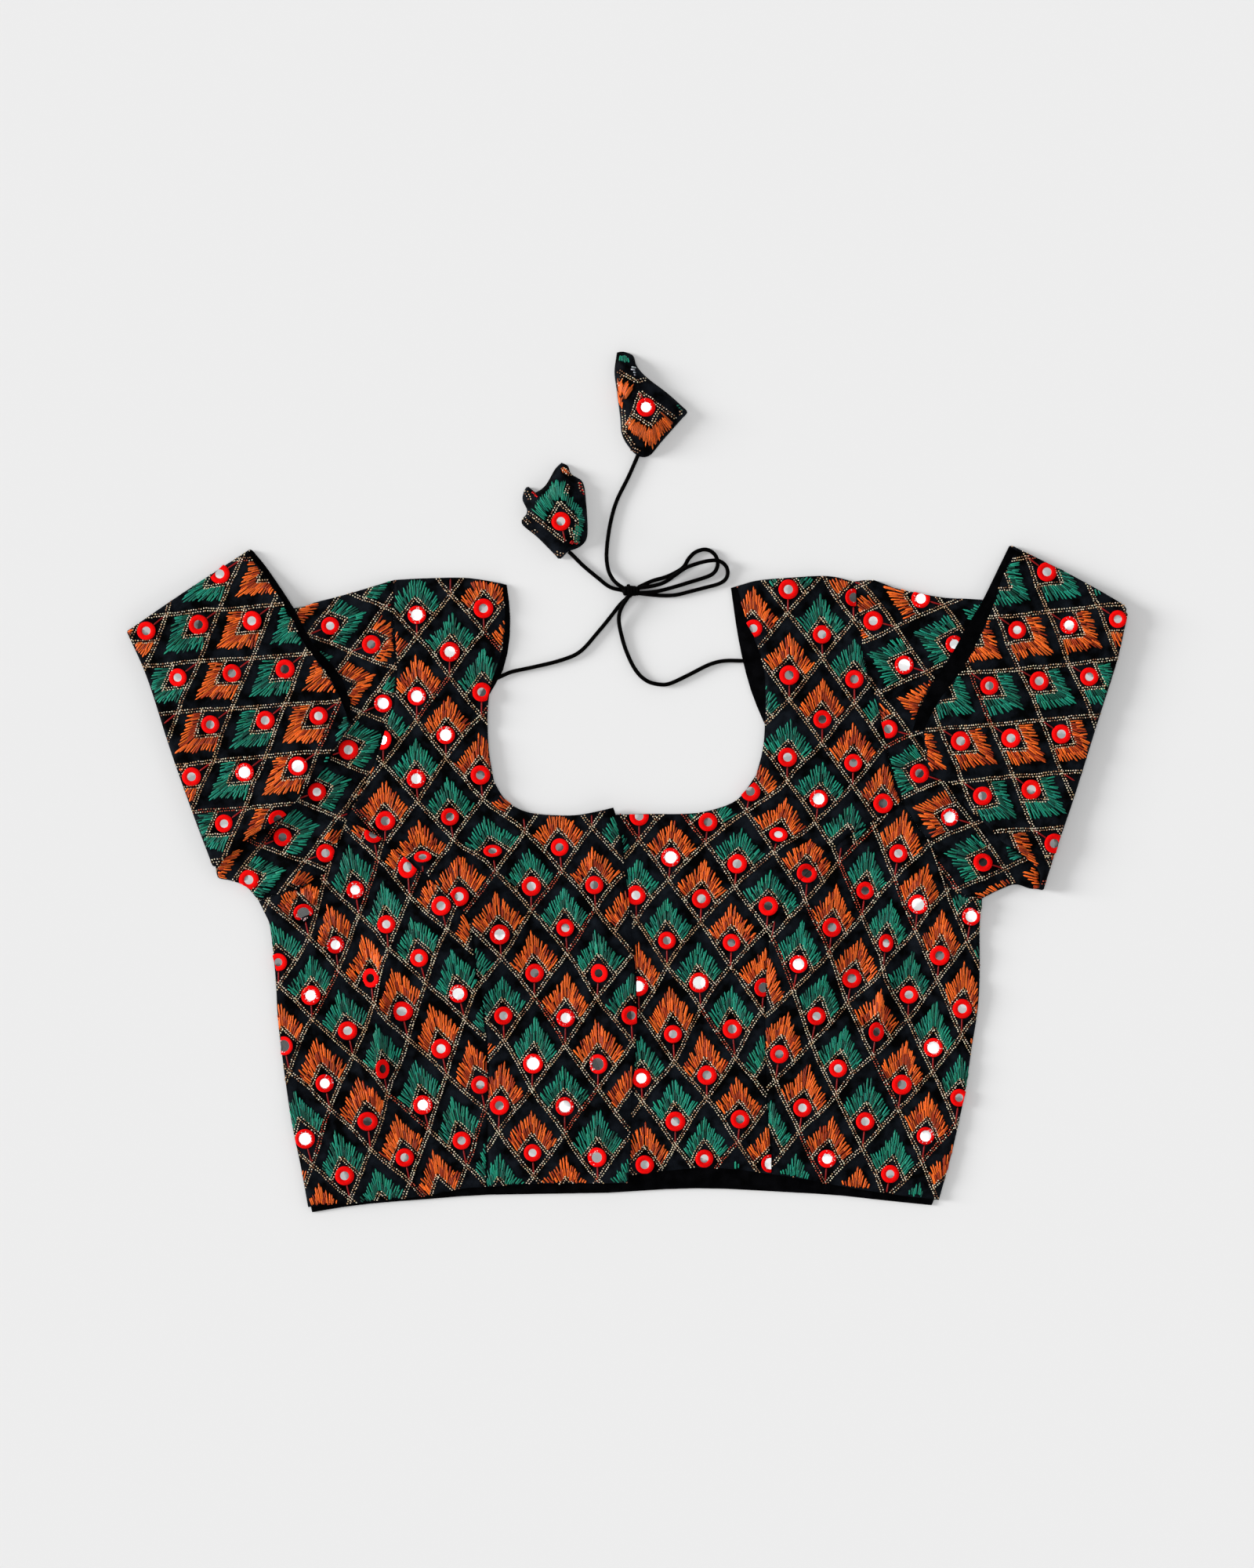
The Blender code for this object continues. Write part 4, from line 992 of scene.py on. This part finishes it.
class Needlework:
    """The stitching of one piece of cloth, gathered by kind while it is set down on the surface."""

    def __init__(self, surface, chance):
        self.surface = surface
        self.chance = chance
        self.kinds = {}
        for kind in ("beads", "silk", "bindings", "mirrors"):
            bm = bmesh.new()
            bm.verts.layers.float_color.new("thread")
            self.kinds[kind] = bm

    def ground(self, place, allowed):
        """The surface under a place, and its normal, or nothing where this piece doesn't show."""
        if not allowed(place):
            return None, None
        hit, normal, _, _ = self.surface.ray_cast(Vector((place.x * MM, place.y * MM, 0.1)), DOWN)
        if hit is None or normal.z < STEEPEST:
            return None, None
        return hit, normal

    def shows(self, place, allowed):
        """Whether this piece shows at a place."""
        return self.ground(place, allowed)[0] is not None

    def put(self, kind, shape, place, along, size, rise, colour, allowed, squeeze=(), cut=None):
        """Sets one small shape on the cloth, turned to run along a way in the plane. False if it can't."""
        hit, normal = self.ground(place, allowed)
        if hit is None:
            return False
        run = Vector((along.x, along.y, 0))
        run = (run - normal * run.dot(normal)).normalized()
        side = normal.cross(run)
        turn = Matrix((run, side, normal)).transposed().to_4x4()
        for direction, amount in squeeze:
            turn = Matrix.Scale(amount, 4, direction.to_3d()) @ turn
        stretch = Matrix.Diagonal((size[0] * MM, size[1] * MM, size[2] * MM, 1))
        matrix = Matrix.Translation(hit + normal * rise * MM) @ turn @ stretch
        set_down(self.kinds[kind], shape, matrix, colour, cut)
        return True

    def stitch(self, start, end, width, colour, allowed):
        """One straight stitch of silk, as far as it is on the cloth."""
        shares = [step / 5 for step in range(6)]
        shares = [share for share in shares if self.shows(start.lerp(end, share), allowed)]
        if not shares or shares[-1] - shares[0] < LEAST_STITCH:
            return
        start, end = start.lerp(end, shares[0]), start.lerp(end, shares[-1])
        size = ((end - start).length, width, STITCH_HEIGHT)
        self.put("silk", stitch_shape, (start + end) / 2, end - start, size, 0.18, colour, allowed)

    def bead_line(self, start, end, tone, allowed):
        """A double row of beads along a line of the trellis."""
        along = end - start
        if along.length < BEAD_PITCH:
            return
        count = round(along.length / BEAD_PITCH)
        aside = Vector((-along.y, along.x)).normalized() * BEAD_ROWS_APART / 2
        other = GOLD if tone is CREAM else CREAM
        for row in (-1, 1):
            for index in range(count):
                share = (index + 0.5 + 0.25 * row) / count
                place = start.lerp(end, share) + aside * row
                place += Vector((self.chance.gauss(0, BEAD_STRAY), self.chance.gauss(0, BEAD_STRAY)))
                pick = self.chance.random()
                shade = tone if pick < BEAD_SHARES[0] else BROWN if pick < BEAD_SHARES[1] else other
                colour = varied(shade, self.chance)
                wide = BEAD * self.chance.uniform(0.85, 1.1)
                size = (wide * 1.1, wide, wide)
                self.put("beads", bead_shape, place, along, size, 0.32, colour, allowed)

    def diamond(self, repeat, row, column, allowed):
        """One diamond of the repeat, stitched in the order in which it is worked."""
        def at(a, b):
            """A place in the diamond, from its foot."""
            return repeat_place(repeat, row + a - MIRROR_INSET, column + b - MIRROR_INSET)

        def drawn(a, b):
            """The same after the narrow folds have drawn it in."""
            return pinched(at(a, b))[0]

        chance = self.chance
        for way in (Vector((1, 0)), Vector((0, 1))):
            dull = chance.random()
            tone = CREAM if dull < ROW_SHARES[0] else GOLD if dull < ROW_SHARES[1] else RUST
            stops = [drawn(*way * stop) for stop in SIDE_STOPS]
            for before, after in zip(stops, stops[1:]):
                self.bead_line(before, after, tone, allowed)
            foot = way * CHEVRON
            corner = Vector((CHEVRON, CHEVRON))
            stops = [drawn(*foot.lerp(corner, stop)) for stop in (0.0, 0.5, 1.0)]
            for before, after in zip(stops, stops[1:]):
                self.bead_line(before, after, CREAM, allowed)

        colour = "green" if (column - repeat.green_row) % 2 == 0 else "orange"
        middle = at(0.5, 0.5)
        fan = []
        for mirrored, end_of_leg in ((False, at(CHEVRON, 0)), (True, at(0, CHEVRON))):
            leg = (end_of_leg - middle).length
            for low, high, spacing, light in FAN_TIERS:
                count = max(round(leg / spacing), 3)
                for index in range(count):
                    share = FAN_FIRST + (1 - FAN_FIRST) * (index + 0.5 + chance.uniform(-0.2, 0.2)) / count
                    lean = -0.08 + 1.08 * share**1.5
                    reach = FAN_REACH * (1.12 - 0.2 * share)
                    ends = []
                    for part, loose in ((low, 0.03), (high, 0.12)):
                        rise = reach * (part + chance.uniform(-loose, loose))
                        aside = CHEVRON * share + rise * lean + chance.gauss(0, 0.011)
                        ends.append((aside, FAN_START + rise) if mirrored else (FAN_START + rise, aside))
                    fan.append([light, *ends])
        aside = chance.uniform(-0.03, 0.03)
        fan.append([FAN_TIP_LIGHT, *((place + aside, place - aside) for place in FAN_TIP)])
        for light, start, end in fan:
            # A stitch has the silk's own colour, or its painted shade.
            shade = SILKS[colour] if chance.random() < light else SILK_PAINTED_SHADES[colour]
            width = STITCH_WIDTH * chance.uniform(0.8, 1.15)
            self.stitch(drawn(*start), drawn(*end), width, varied(shade, chance, 0.6, 1.25), allowed)
        self.mirror(at(MIRROR_INSET, MIRROR_INSET), drawn(0.0, 0.0), allowed)

    def seam_through(self, centre, allowed):
        """The place and way of the plane at which a seam or an edge cuts a mirror off, None where none
        does, or "hidden". It looks round the rim, and then across the mirror towards what is missing."""
        missing = Vector((0, 0))
        for look in range(RIM_LOOKS):
            angle = look * math.tau / RIM_LOOKS
            way = Vector((math.cos(angle), math.sin(angle)))
            if not self.shows(centre + way * RING_OUTER * 0.96, allowed):
                missing += way
        if missing.length <= 0.5:
            return None
        way = missing.normalized()
        steps = [step * SEAM_STEP for step in range(-SEAM_STEPS, SEAM_STEPS + 1)]
        kept = [step for step in steps if self.shows(centre + way * step, allowed)]
        if not kept or kept[-1] < LEAST_MIRROR:
            return "hidden"
        return (centre + way * (kept[-1] + SEAM_MARGIN)).to_3d() * MM, way.to_3d()

    def mirror(self, place, foot, allowed):
        """A mirror bound in red thread, on its stem."""
        chance = self.chance
        centre, squeeze = pinched(place)
        down = (foot - centre).normalized()
        self.stitch(centre + down * (RING_OUTER - 0.6), foot, 1.0, varied(STEM_RED, chance), allowed)
        cut = self.seam_through(centre, allowed)
        if cut == "hidden":
            return
        bright = any((centre - Vector(spot)).length < BRIGHT_WITHIN for spot in BRIGHT_PLACES)
        opening = chance.choice(RING_WIDE) if bright else RING_INNER
        lean = Vector((chance.gauss(0, 1), chance.gauss(0, 1)))
        rim = varied(RED, chance, 0.88, 1.0)
        wide = chance.uniform(0.92, 1.05)
        ring = ring_shapes[opening]
        if not self.put("bindings", ring, centre, lean, (wide, wide, 1), 0.0, rim, allowed, squeeze, cut):
            return
        # The glass's painted reflection: one tone on each side of a line across it.
        painted_tones = chance.choice(BRIGHT_PAINTED_REFLECTIONS if bright else GLASS_PAINTED_REFLECTIONS)
        edge = chance.uniform(-0.1, 0.75)
        turn = chance.uniform(0, math.tau)
        colours = []
        for x, y in zip(glass_shape[1][0::3], glass_shape[1][1::3]):
            tone = painted_tones[0] if x * math.cos(turn) + y * math.sin(turn) < edge else painted_tones[1]
            colours += [tone, tone, tone, 1.0]
        size = (opening + 0.5, opening + 0.5, 1.0)
        self.put("mirrors", glass_shape, centre, lean, size, 0.42, colours, allowed, squeeze, cut)
        # Painted glints: small pale pink beads on the red thread, standing in for the light that the mirror
        # throws back.
        for _ in range(GLINTS if bright else 0):
            turn = chance.uniform(0, math.tau)
            way = Vector((math.cos(turn), math.sin(turn)))
            place = centre + way * chance.uniform(opening, RING_OUTER - 0.8)
            size = (chance.uniform(0.6, 1.4), chance.uniform(0.5, 0.9), 0.5)
            self.put("bindings", bead_shape, place, lean, size, 0.62, varied(PAINTED_GLINT_PINK, chance), allowed)

    def hand_over(self, name):
        """Makes a piece of each kind of stitching."""
        for kind, slot, material in (
            ("beads", "zari_bead", zari), ("silk", "silk_thread", silk), ("bindings", "silk_thread", binding),
            ("mirrors", "mirror_glass", glass),
        ):
            mesh = bpy.data.meshes.new(f"{name}_{kind}")
            self.kinds[kind].to_mesh(mesh)
            self.kinds[kind].free()
            mesh.materials.append(material)
            hand_over(bpy.data.objects.new(f"{name}_{kind}", mesh), slot)


def embroider(node, fields, seed):
    """Stitches a piece of cloth. Each field is a repeat, the span of its rows and columns, and a test."""
    work = Needlework(SURFACES[node], random.Random(seed))
    for repeat, span, allowed in fields:
        for row in range(*span):
            for column in range(*span):
                work.diamond(repeat, row, column, allowed)
    work.hand_over(node)


def anywhere(place):
    """All of a piece is stitched."""
    return True


def beside_opening(place):
    """The right centre front shows only outside the left one's edge."""
    return place.x > edge_x(place.y) + 0.7


def flat_region(outline):
    """A tree of the flat area inside an outline, to test places against."""
    bm = bmesh.new()
    corners = [bm.verts.new((point.x, point.y, 0)) for point in outline]
    bm.faces.new(corners)
    bmesh.ops.triangulate(bm, faces=bm.faces)
    tree = BVHTree.FromBMesh(bm)
    bm.free()
    return tree


for number, side in enumerate(HALVES):
    node = f"centre_front_{side}"
    allowed = anywhere if side == "left" else beside_opening
    embroider(node, [(REPEATS[node], (-7, 9), allowed)], 11 + number)
    node = f"side_front_{side}"
    embroider(node, [(REPEATS[node], (-7, 8), anywhere)], 21 + number)
    region = flat_region(END_OUTLINES[side])

    def on_end(place):
        return region.ray_cast(Vector((place.x, place.y, 1)), DOWN)[0] is not None

    def off_end(place):
        return not on_end(place)

    node = f"sleeve_{side}"
    embroider(
        node, [(REPEATS[node], (-7, 8), off_end), (REPEATS[node + "_end"], (-5, 6), on_end)], 31 + number,
    )


# Latkans: a square of the same satin folded into a pointed bundle round the end of each cord and stitched
# shut. The folds cut through the repeat, so one mirror shows with its chevron, a fan and scraps of others.
Tassel = collections.namedtuple("Tassel", "outline top_x top_y height creases mirror stem bead_rows fans")
Fan = collections.namedtuple("Fan", "foot to_foot tip to_tip count colour")
LATKANS = {
    "latkan_lower": Tassel(
        outline=[(-42, 264), (-38, 262), (-36, 257), (-29, 252), (-27, 240), (-26, 224), (-27, 216.5),
                 (-31.5, 212), (-38, 209.5), (-43, 205), (-47, 208.5), (-57, 218.5), (-66.5, 227), (-63, 234),
                 (-66, 242), (-63, 249.5), (-59, 245.5), (-52, 250), (-46, 260)],
        top_x=-42, top_y=231, height=7.6,
        creases=[Crease(-65, 232, -38, 211, 2.2, -0.9), Crease(-62, 226, -42, 208, 2.5, 0.5),
                 Crease(-34, 256, -31, 214, 3, -0.7), Crease(-60, 246, -40, 258, 3, 0.4)],
        mirror=(-42.3, 227.5), stem=(-39.5, 214.5),
        bead_rows=[(-50.5, 227, -43.3, 240), (-43.3, 240, -31.8, 228), (-63.8, 234, -39.3, 214.5),
                   (-37.3, 251, -39.5, 244), (-41.5, 262, -36.5, 256.5), (-30.5, 252.5, -29, 246),
                   (-64.5, 247.5, -62, 241), (-60, 222.5, -57.5, 220.2), (-46, 208, -41, 206.5),
                   (-36.5, 224, -35, 217), (-31.8, 228, -33.5, 215), (-66, 230, -62, 226)],
        fans=[Fan((-52, 228), (-44.5, 241.5), (-62, 236.5), (-47, 253), 18, "green"),
              Fan((-45, 241), (-42.5, 241.5), (-48.5, 254), (-39.5, 253), 9, "green"),
              Fan((-54.5, 233), (-46, 246), (-60.5, 240.5), (-43.5, 257), 13, "green"),
              Fan((-42.6, 242), (-31.5, 230), (-42, 252.5), (-28.3, 236), 12, "green"),
              Fan((-34, 226), (-35.5, 216), (-28, 222.5), (-30, 213.5), 12, "green"),
              Fan((-33, 236), (-32, 226), (-27.8, 236), (-27, 224), 9, "green"),
              Fan((-41, 258), (-37, 256), (-42, 263), (-38.5, 261), 4, "orange"),
              Fan((-32, 252), (-29.5, 246), (-29, 252), (-27.5, 245), 4, "red"),
              Fan((-61, 245.5), (-58, 243), (-59.5, 246.5), (-57, 243.5), 5, "red"),
              Fan((-36.5, 213.5), (-33, 212.5), (-34.5, 216.5), (-31.5, 215), 4, "red")]),
    "latkan_upper": Tassel(
        outline=[(-6, 334), (-2, 334.5), (4, 332), (6, 326), (12, 319), (25, 309), (34.5, 300.5),
                 (37.2, 297.3), (33.5, 293), (22, 280), (14, 270.8), (7, 270.6), (1, 276.5), (-3, 284),
                 (-4, 294), (-6, 310), (-7.5, 322)],
        top_x=11, top_y=295, height=7.6,
        creases=[Crease(-6, 323, 8, 316, 2.2, -0.9), Crease(4, 312, -3, 282, 3, -0.6),
                 Crease(14, 314, 34, 298, 3, 0.5), Crease(16, 276, 30, 292, 3, -0.5)],
        mirror=(11.8, 300), stem=(8.3, 309),
        bead_rows=[(8.3, 310, 3.3, 296), (3.3, 296, 14.8, 288.5), (14.8, 288.5, 20.5, 298.5),
                   (8.3, 310, 30.8, 293), (3.3, 296, -2.5, 285), (-5.8, 323.5, 5.8, 316.5),
                   (5.8, 316.5, 12, 318), (2.5, 274.5, 8, 272), (32.5, 296.5, 35, 297.5),
                   (-2.5, 321, -6, 314), (-2.5, 299, -1.5, 284), (-1.5, 284, 4, 276)],
        fans=[Fan((3.0, 294), (14.0, 286.8), (-1.5, 289), (13, 276.5), 17, "orange"),
              Fan((2.0, 291.5), (14.5, 282), (0.5, 284.5), (16.5, 274), 14, "orange"),
              Fan((13.5, 287.5), (16, 288), (11.5, 275.5), (20, 277), 8, "orange"),
              Fan((15.6, 287), (21.6, 296.5), (15.5, 276), (30, 289), 14, "orange"),
              Fan((17, 282), (25, 293), (18, 276.5), (30.5, 287.5), 10, "orange"),
              Fan((-5.5, 319.5), (4.5, 314), (-6.2, 310), (-2.5, 303.5), 13, "orange"),
              Fan((-5.5, 311), (-2, 305), (-5.2, 303), (-4, 299), 4, "orange"),
              Fan((-5, 329), (1, 328), (-4.5, 333.5), (0, 333.5), 6, "green"),
              Fan((33.5, 298.5), (31, 301), (35.5, 298.3), (33, 301.5), 3, "green"),
              Fan((1.6, 326), (4, 321), (6.6, 325), (5.4, 320.4), 4, "lining"),
              Fan((6.5, 308.5), (7.5, 306), (8, 308.8), (9.5, 306.5), 3, "red")]),
}
LATKAN_COLOURS = {**SILKS, "red": RED, "lining": (0.36, 0.38, 0.42)}
# Rings of the bundle from its outline to its top: each one's share of the outline's size and of the height.
LATKAN_RINGS = [
    (1.0, 0.0), (1.04, 0.16), (1.0, 0.34), (0.96, 0.55), (0.88, 0.72), (0.76, 0.84), (0.6, 0.93), (0.4, 0.98),
    (0.2, 1.0),
]
POINTS_PER_CORNER = 5
FOLDS_FROM = 0.5
FOLDS_SINK = 0.5
LATKAN_PUCKERS = 0.7
for number, (node, tassel) in enumerate(LATKANS.items()):
    middle = Vector((tassel.top_x, tassel.top_y))
    outline = [*tassel.outline, tassel.outline[0]]
    outline = evenly(outline, POINTS_PER_CORNER * len(tassel.outline) + 1)[:-1]
    bm = bmesh.new()
    bmesh.ops.create_grid(bm, x_segments=len(outline), y_segments=len(LATKAN_RINGS) - 1, size=1.0)
    for vertex in bm.verts:
        share, height = LATKAN_RINGS[round((vertex.co.y + 1) / 2 * (len(LATKAN_RINGS) - 1))]
        point = outline[round((vertex.co.x + 1) / 2 * len(outline)) % len(outline)]
        place = middle.lerp(point, share)
        z = height * tassel.height
        if height > FOLDS_FROM:
            z += crease_height(tassel.creases, place.x, place.y) - FOLDS_SINK
            z += LATKAN_PUCKERS * puckers(place.x, place.y)
        vertex.co = (place.x * MM, place.y * MM, z * MM)
    bmesh.ops.remove_doubles(bm, verts=bm.verts, dist=0.001 * MM)
    bmesh.ops.holes_fill(bm, edges=[edge for edge in bm.edges if edge.is_boundary], sides=0)
    bmesh.ops.triangulate(bm, faces=[face for face in bm.faces if len(face.verts) > 4])
    piece, surface = cloth_piece(node, bm, [satin])
    work = Needlework(surface, random.Random(41 + number))
    for x, y, to_x, to_y in tassel.bead_rows:
        work.bead_line(Vector((x, y)), Vector((to_x, to_y)), CREAM, anywhere)
    for fan in tassel.fans:
        colour = LATKAN_COLOURS[fan.colour]
        for index in range(fan.count):
            share = index / (fan.count - 1)
            foot = Vector(fan.foot).lerp(Vector(fan.to_foot), share)
            tip = Vector(fan.tip).lerp(Vector(fan.to_tip), share)
            foot = foot.lerp(tip, work.chance.uniform(-0.1, 0.25))
            tip = foot.lerp(tip, work.chance.uniform(0.7, 1.1))
            shade = varied(colour, work.chance, 0.25, 1.15)
            work.stitch(foot, tip, STITCH_WIDTH * work.chance.uniform(0.8, 1.15), shade, anywhere)
    work.mirror(Vector(tassel.mirror), Vector(tassel.stem), anywhere)
    work.hand_over(node)


# Floor and light: a pale even surface with one soft low light from the left, and plain light from all sides
# that is strongest low down, so that thin cloth has a soft shadow all round and a longer one to the right.
FLOOR_SIZE = 30.0
KEY_FROM = (-1.35, 0.2, 0.36)
KEY_WIDTH = 18
KEY_STRENGTH = 3.9
bm = bmesh.new()
bmesh.ops.create_grid(bm, x_segments=1, y_segments=1, size=FLOOR_SIZE / 2)
floor_mesh = bpy.data.meshes.new("floor")
bm.to_mesh(floor_mesh)
bm.free()
floor_mesh.materials.append(finish("pale floor", 0.9, 0.0, Base_Color=(0.84, 0.84, 0.84, 1)))
floor = bpy.data.objects.new("floor", floor_mesh)
bpy.context.scene.collection.objects.link(floor)

key_data = bpy.data.lights.new("key", "SUN")
key_data.angle = math.radians(KEY_WIDTH)
key_data.energy = KEY_STRENGTH
key = bpy.data.objects.new("key", key_data)
key.location = KEY_FROM
key.rotation_euler = (-key.location).to_track_quat("-Z", "Y").to_euler()
bpy.context.scene.collection.objects.link(key)

# How bright the room is by height: low walls, dim upper walls, and a ceiling that mirrors show white.
ROOM = [(0.0, 0.5), (0.08, 1.1), (0.5, 1.0), (0.62, 0.1), (0.83, 0.1), (0.92, 1.4)]
world = bpy.data.worlds.new("studio")
world.use_nodes = True
sky = world.node_tree.nodes["Background"]
sky.inputs["Color"].default_value = (1, 1, 1, 1)
direction = world.node_tree.nodes.new("ShaderNodeTexCoord")
level = world.node_tree.nodes.new("ShaderNodeSeparateXYZ")
room = world.node_tree.nodes.new("ShaderNodeValToRGB")
room.color_ramp.interpolation = "EASE"
while len(room.color_ramp.elements) < len(ROOM):
    room.color_ramp.elements.new(0.5)
for element, (position, strength) in zip(room.color_ramp.elements, ROOM):
    element.position = position
    element.color = (strength, strength, strength, 1)
world.node_tree.links.new(direction.outputs["Generated"], level.inputs["Vector"])
world.node_tree.links.new(level.outputs["Z"], room.inputs["Fac"])
world.node_tree.links.new(room.outputs["Color"], sky.inputs["Strength"])
bpy.context.scene.world = world
bpy.context.scene.view_settings.view_transform = "Standard"
